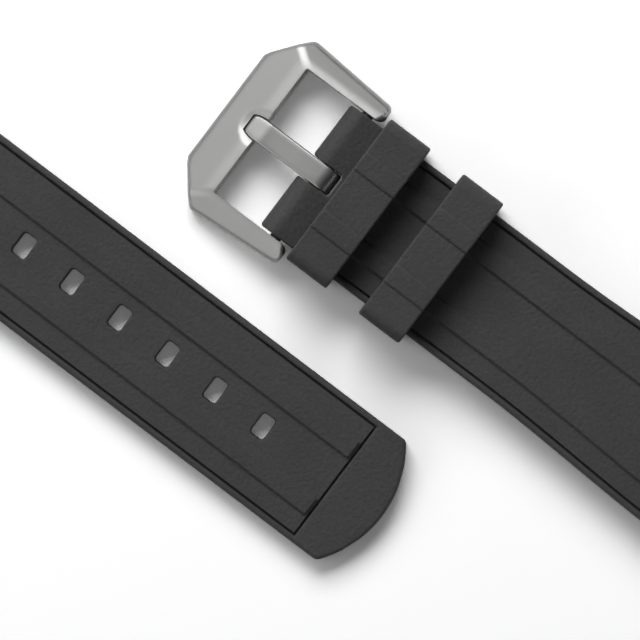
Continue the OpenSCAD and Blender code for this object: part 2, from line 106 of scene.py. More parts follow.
class BandSizes(PropertyGroup):
    """Sizes of the two rubber halves"""

    band_w: length("Band width", "Width of both halves at the buckle", 20)
    tail_t: length("Tail thickness", "Thickness of the tail half at its holes", 2.8)
    seat_z: length("Seat height", "Height of the buckle half's underside at the keepers", 1.5)
    flare_len: length("Flare length", "Length over which a half flares and thickens", 32)
    lug_straight: length("Straight lug end", "Length of full lug width", 9)
    lug_block: length("Lug block", "Length of the smooth block at a lug end", 7.4)
    edge_r: length("Upper edge rounding", "Rounding of the upper long edges", 0.5)
    under_r: length("Lower edge rounding", "Rounding of the lower long edges", 0.4)
    lug_corner_r: length("Lug corner", "Corner rounding of a lug end from above", 0.35)
    rim_w: length("Rim width", "Width of the smooth rim along each edge", 0.87)
    rim_lip: length("Rim lip", "Rounding from the rim into the groove", 0.26)
    groove_w: length("Groove width", "Width of the fine groove inside the rim", 0.3)
    groove_d: length("Groove depth", "Depth of the fine groove", 0.6)
    groove_run: length("Groove wall run", "Plan width of a groove's wall", 0.03)
    groove_foot_r: length("Groove foot", "Rounding at the foot of a groove's walls", 0.06)
    groove_lip: length("Groove lip", "Rounding of a groove's edge at the field", 0.1)
    rib_inset: length("Rib inset", "Distance from the edge to the foot of a rib", 3.7)
    mid_w: length("Middle strip", "Width of the flat strip between the ribs", 6.3)
    rib_h: length("Rib height", "Height of a raised rib", 0.42)
    rib_slope: length("Rib slope", "Plan width of a rib's sloping wall", 0.52)
    tip_block: length("Tip block", "Length of the smooth tip block", 7.75)
    tip_r: length("Tip radius", "Radius of the tip's round end", 15.9)
    tip_corner_r: length("Tip corner", "Rounding of the tip's two corners", 1)
    hole_count: IntProperty(name="Holes", description="Number of pin holes", default=8, min=1)
    hole_first: length("First hole", "Distance from the tip to the nearest hole", 19.9)
    hole_pitch: length("Hole pitch", "Distance from hole to hole", 8)
    hole_l: length("Hole length", "Size of a hole along the band", 2.3)
    hole_w: length("Hole width", "Size of a hole across the band", 3.46)
    hole_r: length("Hole corner", "Corner rounding of a hole", 0.6)
    hole_rim: length("Hole rim", "Rounding of a hole's upper rim", 0.08)
    hole_taper: length("Hole taper", "How far a hole's wall leans in towards the back", 0.14)


class EarSizes(PropertyGroup):
    """Sizes of the ears round the pivot, and of the sprung bars' bores"""

    ear_r: length("Ear radius", "Half thickness of the rubber ears", 2.2)
    nose_len: length("Nose length", "Rubber ahead of the pivot", 2.63)
    hump_len: length("Hump length", "Distance behind the pivot where the hump ends", 4.6)
    field_start: length("Field start", "Distance behind the pivot of the ribbed face", 6.2)
    notch_half: length("Notch half width", "Half width of the tang's notch", 1.71)
    notch_x: length("Notch depth", "Distance behind the pivot of the notch's back", 2.4)
    notch_r: length("Notch corner", "Corner rounding at the notch's back", 0.5)
    notch_rim: length("Notch rim", "Rounding of the notch's edges", 0.15)
    corner_r: length("Ear corner", "Corner rounding of the ears from above", 0.25)
    nose_r: length("Nose edge", "Rounding of the ears' long edges at the nose", 0.22)
    bore_r: length("Bore radius", "Radius of the bores for the sprung bars", 0.95)


class KeeperSizes(PropertyGroup):
    """Sizes of the two rubber keepers"""

    wall: length("Wall", "Wall of a keeper", 1.4)
    outer_r: length("Outer corner", "Outer corner rounding", 1.6)
    inner_r: length("Inner corner", "Inner corner rounding", 0.5)
    edge_r: length("Edge rounding", "Rounding of a keeper's long edges", 0.3)
    rib_h: length("Band height", "Rise of the bands on top", 0.3)
    rib_slope: length("Band slope", "Plan width of a band's wall", 0.55)


class BuckleSizes(PropertyGroup):
    """Sizes of the steel frame and the tang"""

    frame_len: length("Frame length", "Length from the pivot to the front edge", 16.25)
    front_w: length("Front bar", "Width of the front bar", 6.2)
    window_half: length("Window half width", "Half width of the window", 10.33)
    window_r: length("Window corner", "Corner rounding of the window", 0.3)
    arm_w: length("Arm width", "Width of an arm at the front", 3.74)
    arm_end_w: length("Arm end width", "Width of an arm at its end", 2.67)
    arm_end_r: length("Arm end radius", "Radius of an arm's end from the side", 2.3)
    arm_corner_r: length("Arm corner", "Corner rounding of an arm's end from above", 1.0)
    bar_hole_r: length("Bar hole", "Radius of the arms' blind holes for the sprung bar", 0.55)
    bar_hole_d: length("Bar hole depth", "Depth of the arms' blind holes", 1.07)
    cut_l: length("Cut length", "Length of the cut corner along the arm", 4.55)
    cut_w: length("Cut width", "Length of the cut corner across the front", 5.4)
    cut_r: length("Cut rounding", "Rounding of the outline at the cut corners", 1.1)
    top_z: length("Top height", "Height of the flat top above the pivot", 1.85)
    lip: length("Lip", "Width of the level edge along the window", 0.1)
    under_z: length("Under depth", "Depth of the underside below the pivot", 1.5)
    front_slope: angle("Front slope", "Slope of the front facet", 21)
    arm_slope: angle("Arm slope", "Slope of an arm's facet", 29)
    ridge: length("Ridge softness", "Height over which two facets melt together", 0.5)
    crown: length("Crown softness", "Height over which a facet levels out at the window", 0.7)
    inner_r: length("Window edge", "Rounding of the window's upper edge", 0.1)
    outer_r: length("Outer edge", "Rounding of the outer upper edge", 0.65)
    under_r: length("Under edge", "Rounding of the outer under edges", 0.25)
    under_in_r: length("Inner under edge", "Rounding of the window's under edge", 1.0)
    recess_half: length("Recess half width", "Half width of the tang's recess", 1.72)
    recess_x: length("Recess end", "Distance from the pivot to the recess's end", 12.06)
    recess_z: length("Recess floor", "Height of the recess's floor above the pivot", 0.55)
    recess_r: length("Recess corner", "Corner rounding of the recess from above", 0.3)
    dish_w: length("Dish width", "Width of the dished border of the recess", 1.2)
    dish_d: length("Dish depth", "Depth of the dished border at the recess", 0.22)
    dish_r: length("Dish corner", "Corner rounding of the dished border from above", 1.1)
    tang_w: length("Tang width", "Width of the tang", 3.24)
    tang_t: length("Tang thickness", "Thickness of the tang's strip", 1.25)
    tang_len: length("Tang length", "Length from the pivot to the tang's point", 11.96)
    tang_point: length("Bent point", "Length of the bent point", 2.6)
    tang_drop: length("Point drop", "Drop of the bent point", 0.65)
    taper: length("Point taper", "How much each side of the point draws in", 0.35)
    taper_len: length("Taper length", "Length over which the point draws in", 1.6)
    tang_corner_r: length("Point corner", "Corner rounding of the point from above", 0.5)
    tang_edge_r: length("Tang edge", "Rounding of the tang's edges", 0.3)
    eye_r: length("Eye bore", "Radius of the tang's eye inside", 0.95)
    floor_gap: length("Floor gap", "Gap under the hanging frame", 0.1)


class StrapLooks(PropertyGroup):
    """Colours and light"""

    rubber: colour("Rubber", "Colour of the moulded rubber", "#4d4d4d")
    steel: colour("Steel", "Colour of the satin steel", "#999998")
    bar_steel: colour("Bar steel", "Colour of the drawn steel bars", "#6c6c6c")
    floor: colour("Floor", "Colour of the table", "#f8f8f8")
    glow: amount("Table gain", "How much brighter the camera sees the table", 1.8)
    veil: amount("Table veil", "Brightness added where the camera sees the table", 0.07)
    key_power: amount("Key light", "Radiance of the key softbox", 5.5)
    left_power: amount("Left light", "Radiance of the left softbox", 1.2)
    right_power: amount("Right light", "Radiance of the right softbox", 0.35)
    sky: amount("Ceiling light", "Radiance of the room's ceiling", 0.14)
    wall: amount("Mirrored walls", "Radiance of the white walls that the pieces mirror", 1.0)


# Shapes as grids of points


def smooth(t):
    """Smooth step, level at 0 and at 1: three times the square of t less twice its cube."""
    t = np.clip(t, 0.0, 1.0)
    return t * t * (3.0 - 2.0 * t)


def crest(t):
    """Step that starts steep at 0 and eases out level at 1: 1 less the cube of what is left of t."""
    return 1.0 - (1.0 - np.clip(t, 0.0, 1.0)) ** 3


def soft_min(a, b, k):
    """The lesser of a and b, melted together where they differ by less than k.

    It takes off a quarter of k, times the square of the share of k that they are nearer.
    """
    h = np.maximum(k - np.abs(a - b), 0.0) / k
    return np.minimum(a, b) - h * h * k / 4


def drop(d, r):
    """How far a quarter-round edge of radius r lies under its face, at distance d inside the edge.

    It is r less the arc's height, the root of the square of r less the square of r - d.
    """
    d = np.clip(d, 0.0, r)
    return r - np.sqrt(np.maximum(r * r - (r - d) ** 2, 0.0))


def turn_back(r, steps):
    """Distances inside an edge of the points of a quarter-round: r (1 - cos a) for even angles a."""
    return r * (1 - np.cos(np.linspace(0, math.pi / 2, steps)))


def filleted(corners, radii, steps=5):
    """A polyline with each inner corner turned into an arc of its own radius that touches both sides.

    The arc's centre lies on the corner's bisector; its points are swept between the two touching
    points by spherical interpolation.
    """
    corners = np.asarray(corners, float)
    radii = np.asarray(radii, float)[:, None]
    here = corners[1:-1]
    back = corners[:-2] - here
    ahead = corners[2:] - here
    back /= np.linalg.norm(back, axis=1, keepdims=True)
    ahead /= np.linalg.norm(ahead, axis=1, keepdims=True)
    half = np.arccos(np.clip((back * ahead).sum(1, keepdims=True), -1, 1)) / 2
    axis = back + ahead
    axis /= np.linalg.norm(axis, axis=1, keepdims=True)
    centre = here + axis * radii / np.sin(half)
    start = (here + back * radii / np.tan(half) - centre) / radii
    stop = (here + ahead * radii / np.tan(half) - centre) / radii
    sweep = (math.pi - 2 * half)[:, :, None]
    t = np.linspace(0, 1, steps + 1)[None, :, None]
    turned = (np.sin((1 - t) * sweep) * start[:, None] + np.sin(t * sweep) * stop[:, None]) / np.sin(sweep)
    arcs = (centre[:, None] + radii[:, :, None] * turned).reshape(-1, 2)
    return np.concatenate([corners[:1], arcs, corners[-1:]])


def joined(sizes, *parts):
    """One array out of stretches of the given sizes, each a single value or an array."""
    return np.concatenate([np.broadcast_to(part, size) for part, size in zip(parts, sizes)])


def grid(points, keep=None, round_rows=False, round_cols=False):
    """A sheet of quads over a grid of points: (points, faces), without the quads where keep is false."""
    rows, cols = points.shape[:2]
    i = np.arange(rows if round_rows else rows - 1)[:, None]
    j = np.arange(cols if round_cols else cols - 1)[None, :]
    i2 = (i + 1) % rows
    j2 = (j + 1) % cols
    faces = np.stack([i * cols + j, i * cols + j2, i2 * cols + j2, i2 * cols + j], -1)
    faces = faces.reshape(-1, 4) if keep is None else faces[keep]
    return points.reshape(-1, 3), faces


def outer_edge(start, out, down, radius, middle, steps=6, wall=2):
    """Rounds a sheet's border over into a wall.

    Each border point moves out by r sin a and down by r (1 - cos a) while a goes from 0 to 90
    degrees, and then straight to the wall's middle.
    """
    a = np.linspace(0, math.pi / 2, steps)[None, :, None]
    radius = np.broadcast_to(radius, start.shape[:1])[:, None, None]
    bend = start[:, None] + out[:, None] * radius * np.sin(a) + down[:, None] * radius * (1 - np.cos(a))
    t = np.linspace(0, 1, wall + 1)[None, 1:, None]
    return np.concatenate([bend, bend[:, -1:] * (1 - t) + middle[:, None] * t], 1)


def make_piece(name, sheets, caps=()):
    """One closed smooth mesh out of sheets whose borders meet, with flat caps on the rings given."""
    points = np.concatenate([p for p, _ in sheets])
    starts = np.cumsum([0] + [len(p) for p, _ in sheets])
    faces = np.concatenate([f + s for (_, f), s in zip(sheets, starts)]).tolist()
    mesh = bpy.data.meshes.new(name)
    mesh.from_pydata(points, [], faces + [list(c) for c in caps])
    shell = bmesh.new()
    shell.from_mesh(mesh)
    bmesh.ops.delete(shell, geom=[v for v in shell.verts if not v.link_faces], context="VERTS")
    bmesh.ops.remove_doubles(shell, verts=shell.verts, dist=WELD)
    bmesh.ops.recalc_face_normals(shell, faces=shell.faces)
    open_edges = sum(not e.is_manifold for e in shell.edges)
    shell.to_mesh(mesh)
    shell.free()
    if open_edges:
        raise RuntimeError(f"{name} has {open_edges} open edges")
    piece = bpy.data.objects.new(name, mesh)
    bpy.context.scene.collection.objects.link(piece)
    return piece


def finish_piece(piece, body, node, material):
    """Smooth shading weighted by face area, the material, and the piece's place in the frame."""
    mesh = piece.data
    mesh.shade_smooth()
    mesh.set_sharp_from_angle(angle=SHARP_ANGLE)
    weighted = piece.modifiers.new("Weighted normals", "WEIGHTED_NORMAL")
    weighted.keep_sharp = True
    mesh.materials.clear()
    mesh.materials.append(material)
    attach(piece, body)
    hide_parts(node)


def drill(piece, centre, radius, reach):
    """Cuts a bore along y, as far as reach to both sides of centre: a circle carried along y."""
    a = np.linspace(0, 2 * math.pi, 48, endpoint=False)
    y = np.array([-reach, reach])
    ring = np.stack(np.broadcast_arrays(
        centre[0] + radius * np.cos(a), centre[1] + y[:, None], centre[2] + radius * np.sin(a)), -1)
    count = len(a)
    cutter = make_piece("bore_cutter", [grid(ring, round_cols=True)],
        [range(count), range(2 * count - 1, count - 1, -1)])
    cutter.data.shade_smooth()
    cut = piece.modifiers.new("Bore", "BOOLEAN")
    cut.object = cutter
    cut.solver = "EXACT"
    bpy.context.view_layer.update()
    seen = piece.evaluated_get(bpy.context.evaluated_depsgraph_get())
    old = piece.data
    piece.data = bpy.data.meshes.new_from_object(seen)
    piece.modifiers.clear()
    bpy.data.meshes.remove(old)
    bpy.data.objects.remove(cutter)


# The rubber halves


def groove_profile(s):
    """Inset from the edge against height, over the rim, down the groove and up to the field."""
    inner = s.rim_w + s.groove_w
    corners = [
        (0, 0),
        (s.rim_w, 0),
        (s.rim_w + s.groove_run, -s.groove_d),
        (inner - s.groove_run, -s.groove_d),
        (inner, 0),
        (inner + s.rim_w, 0),
    ]
    return filleted(corners, [s.rim_lip, s.groove_foot_r, s.groove_foot_r, s.groove_lip])


def relief(s, x, y, half, x0, x1):
    """Height of the groove and the ribs over a half's plain face.

    The groove follows the least of the distances to the two long edges and to the blocks at x0
    and x1. A rib is the product of three smooth steps: from the edge, from the middle and from
    the blocks.
    """
    inset, height = groove_profile(s).T
    from_edge = half - np.abs(y)
    from_block = s.rim_w + np.minimum(x - x0, x1 - x)
    groove = np.interp(np.minimum(from_edge, from_block), inset, height)
    foot = s.rim_w + s.groove_w
    rib = (smooth((from_edge - s.rib_inset) / s.rib_slope)
        * smooth((np.abs(y) - s.mid_w / 2) / s.rib_slope)
        * smooth((from_block - foot) / s.rib_slope))
    return groove + s.rib_h * rib


def block_lines(s):
    """Distances into the field, from a block's edge, at which its groove and rib ends have lines."""
    inset = groove_profile(s)[:, 0] - s.rim_w
    ramp = s.groove_w + s.rib_slope * np.linspace(0.12, 1, 7)
    return np.unique(np.concatenate([inset[inset < s.groove_w + PAST_GROOVE], ramp]))


def flare(s, d):
    """Share by which a half has flared at distance d from its lug end."""
    return smooth((s.flare_len + s.lug_straight - d) / s.flare_len)


def band_columns(s, middle):
    """Lines along a band, from its +y to its -y border, as (weight of the half width, offset)."""
    inset = groove_profile(s)[:, 0]
    field = s.rim_w + s.groove_w
    near = (inset > s.edge_r + 0.02 * MM) & (inset < field + PAST_GROOVE)
    plain = np.linspace(field + 0.5 * MM, s.rib_inset - 0.4 * MM, 4)
    slope = s.rib_slope * np.linspace(0, 1, 8)
    edge = np.concatenate([[0], inset[near], plain, s.rib_inset + slope])
    inner = np.concatenate([s.mid_w / 2 + slope[::-1], middle])
    weight = np.concatenate([np.ones(edge.size), np.zeros(inner.size)])
    offset = np.concatenate([-edge, inner])
    return np.concatenate([weight, -weight[-2::-1]]), np.concatenate([offset, -offset[-2::-1]])


def barrel(x, z, r, start, stop, steps):
    """Points and outward normals of a round end seen from the side, its two ends left out."""
    a = np.linspace(start, stop, steps + 2)[1:-1]
    return x + r * np.cos(a), z + r * np.sin(a), np.cos(a), np.sin(a)


def band_sheet(s, row, weight, offset, x0, x1):
    """The sheet over a band's face, round its end and back below, as points on rows and columns."""
    half = row["half"][:, None]
    y = half * weight + offset
    y[:, 0] = row["half"] - row["r"]
    y[:, -1] = -y[:, 0]
    x = np.broadcast_to(row["x"][:, None], y.shape)
    z = row["z"][:, None] + row["face"][:, None] * relief(s, x, y, half, x0, x1)
    return np.stack([x, y, z], -1)


def long_edges(sheet, row):
    """The two walls along a band, rounded over from the sheet's first and last columns."""
    down = np.stack([-row["nx"], np.zeros_like(row["nx"]), -row["nz"]], -1)
    walls = []
    for column, side in ((0, 1.0), (-1, -1.0)):
        out = np.broadcast_to([0.0, side, 0.0], down.shape)
        middle = np.stack([row["mx"], side * row["mhalf"], row["mz"]], -1)
        walls.append(grid(outer_edge(sheet[:, column], out, down, row["r"], middle)))
    return walls


def tip_outline(s, weight, offset, total):
    """The tip's outline for each line along the band: (points, outward normals).

    Lines inside the field's edge share the tip's arc by their distance from the middle, and the
    lines of the groove and the rim share the corner's arc evenly.
    """
    half = s.band_w / 2
    past_lip = 0.12 * MM
    field_half = half - s.rim_w - s.groove_w - past_lip
    corner_y = half - s.tip_corner_r
    arc_x = total - s.tip_r
    corner_x = arc_x + math.sqrt((s.tip_r - s.tip_corner_r) ** 2 - corner_y**2)
    turn = math.atan2(corner_y, corner_x - arc_x)
    y = half * weight + offset
    side = np.sign(y)
    outer = np.abs(y) > field_half
    count = outer.sum() // 2
    from_border = np.minimum(np.arange(y.size), np.arange(y.size)[::-1])
    on_corner = side * (turn + (math.pi / 2 - turn) * (count - from_border) / count)
    a = np.where(outer, on_corner, turn * y / field_half)
    normal = np.stack([np.cos(a), np.sin(a)], -1)
    from_arc = np.array([arc_x, 0.0]) + s.tip_r * normal
    from_corner = np.stack([np.full_like(y, corner_x), side * corner_y], -1) + s.tip_corner_r * normal
    return np.where(outer[:, None], from_corner, from_arc), normal


def square_side(part):
    """Turns points given as (outward, along) on one side of a square into all four sides."""
    a = np.arange(4) * math.pi / 2
    out, along = part[..., 0], part[..., 1]
    c, s = np.cos(a)[:, None], np.sin(a)[:, None]
    return np.stack([out * c - along * s, out * s + along * c], -1).reshape(-1, 2)


def hole_patch(s, x, top, block):
    """A pin hole with the field round it.

    Loops run from the rectangle of grid lines round the hole to its rounded upper rim, down its
    wall, over the lower rim and out to the same rectangle below. Each loop is one side of a
    rectangle, or of a rounded one, turned four times.
    """
    across = np.array([[0, 1], [1, 0], [0, 1], [1, 0]])
    reach = np.array(block)[across]
    line = 2 * np.arange(10) / 10 - 1
    frame_loop = square_side(np.stack(np.broadcast_arrays(reach[:, :1], line * reach[:, 1:]), -1))

    def rim(grow, z):
        """The hole's outline at height z, grown by grow and drawn in by the taper.

        Each side has half of both corner arcs, by the angle a, and the straight stretch between
        them, whose ends are -1 and 1.
        """
        grow = grow - s.hole_taper * (1 - z / top)
        size = (np.array([s.hole_l, s.hole_w]) / 2 + grow)[across]
        r = s.hole_r + grow
        a = np.radians([-45, -30, -15, 0, 0, 0, 0, 0, 15, 30])
        straight = np.array([-1, -1, -1, -1, -0.5, 0, 0.5, 1, 1, 1])
        out = size[:, :1] - r + r * np.cos(a)
        along = (size[:, 1:] - r) * straight + r * np.sin(a)
        return square_side(np.stack([out, along], -1))

    a = np.linspace(0, math.pi / 2, 6)
    low_rim = 0.5 * s.hole_rim
    upper = [(s.hole_rim * (1 - math.sin(v)), top - s.hole_rim * (1 - math.cos(v))) for v in a]
    lower = [(low_rim * (1 - math.cos(v)), low_rim * (1 - math.sin(v))) for v in a]
    loops = [(frame_loop, top), ((frame_loop + rim(s.hole_rim, top)) / 2, top)]
    loops += [(rim(grow, z), z) for grow, z in upper + [(0.0, top / 2)] + lower]
    loops += [((frame_loop + rim(low_rim, 0.0)) / 2, 0.0), (frame_loop, 0.0)]
    points = np.array([np.column_stack([p[:, 0] + x, p[:, 1], np.full(len(p), z)]) for p, z in loops])
    return grid(points, round_cols=True)


def make_tail(s, ears, material):
    """The tail half: a sheet over its face, round its lug end and back, with walls and holes.

    Rows run from the tip over the face to the lug end, round it, and back below to the tip. At
    the tip the rows pass by equal steps from the last straight row to the round outline.
    """
    low, high = (np.array(v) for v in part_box("tail_strap"))
    total = high[0] - low[0]
    lug_t = high[2] - low[2]
    lug_half = (high[1] - low[1]) / 2
    lug_r = lug_t / 2
    band_half = s.band_w / 2
    tip_edge = total - s.tip_block
    flat_end = tip_edge + s.rim_w
    # Half the face round a hole that its own loops fill, along and across the band
    block = (2.0 * MM, 2.575 * MM)
    holes = total - s.hole_first - s.hole_pitch * np.arange(s.hole_count)

    def thick(x):
        """Thickness at x, which grows with the flare."""
        return s.tail_t + (lug_t - s.tail_t) * flare(s, x)

    def half_at(x):
        """Half width at x, which grows with the flare."""
        return band_half + (lug_half - band_half) * flare(s, x)

    lines = block_lines(s)
    xs = np.unique(np.round(np.concatenate([
        [lug_r, 2 * lug_r, flat_end], s.lug_block + lines,
        np.linspace(s.lug_straight, s.lug_straight + s.flare_len, 17),
        (holes[:, None] + np.linspace(-block[0], block[0], 11)).ravel(), tip_edge - lines]), 9))
    xs = xs[(xs >= lug_r) & (xs <= flat_end)]
    lug_x, lug_z, lug_nx, lug_nz = barrel(lug_r, lug_r, lug_r, math.pi / 2, 3 * math.pi / 2, 18)
    to_tip = np.linspace(1, 0, 8)[:-1]
    sizes = (to_tip.size, xs.size, lug_x.size, xs.size, to_tip.size)
    x = joined(sizes, flat_end, xs[::-1], lug_x, xs, flat_end)
    at_lug = joined(sizes, False, False, True, False, False)
    nz = joined(sizes, 1.0, 1.0, lug_nz, -1.0, -1.0)
    row = {
        "x": x,
        "z": joined(sizes, thick(flat_end), thick(xs[::-1]), lug_z, 0.0, 0.0),
        "nx": joined(sizes, 0.0, 0.0, lug_nx, 0.0, 0.0),
        "nz": nz,
        "r": s.edge_r + (s.under_r - s.edge_r) * (1 - nz) / 2,
        "half": half_at(x) - drop(x, s.lug_corner_r),
        "face": joined(sizes, 1.0, 1.0, 0.0, 0.0, 0.0),
        "mx": np.where(at_lug, lug_r, x),
        "mz": np.where(at_lug, lug_r, thick(x) / 2),
        "mhalf": np.where(at_lug, lug_half, half_at(x)),
    }

    weight, offset = band_columns(s, block[1] * np.linspace(1, 0, 6))
    sheet = band_sheet(s, row, weight, offset, s.lug_block, tip_edge)
    outline, normal = tip_outline(s, weight, offset, total)
    share = joined(sizes, to_tip, 0.0, 0.0, 0.0, to_tip[::-1])[:, None, None]
    at_tip = outline - normal * row["r"][:, None, None]
    sheet[..., :2] = sheet[..., :2] * (1 - share) + at_tip * share
    row["mx"] = np.where(share[:, 0, 0] > 0, sheet[:, 0, 0], row["mx"])

    centre = (sheet[:-1, :-1] + sheet[1:, 1:]) / 2
    in_line = np.abs(centre[..., 1]) < block[1]
    at_hole = np.abs(centre[..., 0, None] - holes).min(-1) < block[0]
    sheets = [grid(sheet, ~(in_line & at_hole))] + long_edges(sheet, row)
    out = np.column_stack([normal, np.zeros(len(normal))])
    middle = np.column_stack([outline, np.full(len(outline), s.tail_t / 2)])
    for end, radius, z in ((0, s.edge_r, -1.0), (-1, s.under_r, 1.0)):
        inward = np.broadcast_to([0.0, 0.0, z], out.shape)
        sheets.append(grid(outer_edge(sheet[end], out, inward, radius, middle)))
    sheets += [hole_patch(s, hole, s.tail_t, block) for hole in holes]
    place = np.array([low[0], (low[1] + high[1]) / 2, 0.0])
    piece = make_piece("tail_band", [(points + place, faces) for points, faces in sheets])
    drill(piece, place + np.array([lug_r, 0, lug_r]), ears.bore_r, lug_half + MM)
    finish_piece(piece, "tail_half", "tail_strap", material)


class BuckleSide:
    """The buckle half seen from the side, in distances behind the pivot"""

    def __init__(self, s, e, total, face_z):
        """The hump's back is the line from its foot that touches the nose's circle."""
        self.s, self.e = s, e
        self.total, self.face_z = total, face_z
        self.nose_x = e.ear_r - e.nose_len
        reach = e.hump_len - self.nose_x
        rise = face_z - PIVOT[2]
        self.top_turn = math.atan2(rise, reach) + math.acos(e.ear_r / math.hypot(reach, rise))
        self.slope = 1 / math.tan(self.top_turn)

    def flared(self, x):
        """Share by which the half has flared at x."""
        return flare(self.s, self.total - x)

    def upper(self, x):
        """Height of the face: the hump's straight back, melted into the level face at its foot."""
        soft = 0.3 * MM
        d = self.e.hump_len - x
        return self.face_z + self.slope * (d + np.sqrt(d * d + soft**2)) / 2

    def lower(self, x):
        """Height of the underside, which comes down to the table as the half flares."""
        return self.s.seat_z * (1 - self.flared(x))

    def lean(self, x):
        """Slope of the hump's back, for the directions in which its edges round over."""
        run = 2 * MM
        return self.slope * smooth((self.e.hump_len - x) / run)


def make_buckle_band(s, e, material):
    """The buckle half: a sheet over its face, round its lug end, back below and round its nose.

    Distances count from the pivot. The sheet has a gap round the notch for the tang, which
    notch_sheets fills in.
    """
    low, high = (np.array(v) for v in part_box("buckle_strap"))
    total = high[0] - PIVOT[0]
    lug_half = (high[1] - low[1]) / 2
    band_half = s.band_w / 2
    face_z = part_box("tail_strap")[1][2]
    lug_r = face_z / 2
    profile = BuckleSide(s, e, total, face_z)
    nose_x = profile.nose_x
    top_x = nose_x + e.ear_r * math.cos(profile.top_turn)
    notch_start = e.notch_x - e.notch_r
    flare_start = total - s.flare_len - s.lug_straight
    strip_x, strip_y = 3.6 * MM, s.mid_w / 2
    fine_edge_x = 0.5 * MM
    plain_x = 12 * MM

    lines = block_lines(s)
    xs = np.unique(np.round(np.concatenate([
        np.linspace(top_x, notch_start, 7), np.linspace(notch_start, strip_x, 8),
        np.linspace(strip_x, e.field_start - s.rim_w, 6), e.field_start + lines,
        np.linspace(plain_x, flare_start, 5), np.linspace(flare_start, total - s.lug_straight, 17),
        total - s.lug_block - lines, [total - 2 * lug_r, total - lug_r]]), 9))
    lug_x, lug_z, lug_nx, lug_nz = barrel(total - lug_r, lug_r, lug_r, math.pi / 2, -math.pi / 2, 18)
    back = np.append(xs[::-1], nose_x)
    round_x, round_z, round_nx, round_nz = barrel(
        nose_x, PIVOT[2], e.ear_r, -math.pi / 2, profile.top_turn - 2 * math.pi, 26)
    sizes = (xs.size, lug_x.size, back.size, round_x.size)
    x = joined(sizes, xs, lug_x, back, round_x)
    part = joined(sizes, FACE, LUG, BACK, NOSE)

    tilt = profile.lean(xs)
    tilt_l = np.sqrt(1 + tilt**2)
    nz = joined(sizes, 1 / tilt_l, lug_nz, -1.0, round_nz)
    at_lug = part == LUG
    at_nose = (part == NOSE) | ((part == BACK) & (x <= nose_x))
    full = band_half + (lug_half - band_half) * profile.flared(x)
    corner = drop(total - x, s.lug_corner_r) + drop(x + e.nose_len, e.corner_r)
    facing_up = np.where(at_lug | (part == NOSE), (1 + nz) / 2, nz > 0)
    edge = s.under_r + (s.edge_r - s.under_r) * facing_up
    edge = e.nose_r + (edge - e.nose_r) * smooth((x - fine_edge_x) / (e.hump_len - fine_edge_x))
    row = {
        "x": x,
        "z": joined(sizes, profile.upper(xs), lug_z, profile.lower(back), round_z),
        "nx": joined(sizes, tilt / tilt_l, lug_nx, 0.0, round_nx),
        "nz": nz,
        "r": edge,
        "half": full - corner,
        "face": (part == FACE).astype(float),
        "mx": np.select([at_lug, at_nose], [total - lug_r, nose_x], x),
        "mz": np.select([at_lug, at_nose], [lug_r, PIVOT[2]], (profile.upper(x) + profile.lower(x)) / 2),
        "mhalf": np.select([at_lug, at_nose], [lug_half, band_half], full),
    }
    row = {key: np.append(values, values[0]) for key, values in row.items()}
    part = np.append(part, FACE)

    weight, offset = band_columns(s, strip_y * np.linspace(1, 0, 8)[1:])
    sheet = band_sheet(s, row, weight, offset, e.field_start, total - s.lug_block)
    centre = (sheet[:-1, :-1] + sheet[1:, 1:]) / 2
    gap = (np.abs(centre[..., 1]) < strip_y) & (centre[..., 0] < strip_x)
    sheets = [grid(sheet, ~gap)] + long_edges(sheet, row)
    sheets += notch_sheets(e, profile, row, part, sheet, strip_x, strip_y)
    place = np.array([PIVOT[0], (low[1] + high[1]) / 2, 0.0])
    piece = make_piece("buckle_band", [(points + place, faces) for points, faces in sheets])
    drill(piece, PIVOT, e.bore_r, band_half + MM)
    drill(piece, place + np.array([total - lug_r, 0, lug_r]), e.bore_r, lug_half + MM)
    finish_piece(piece, "buckle_half", "buckle_strap", material)


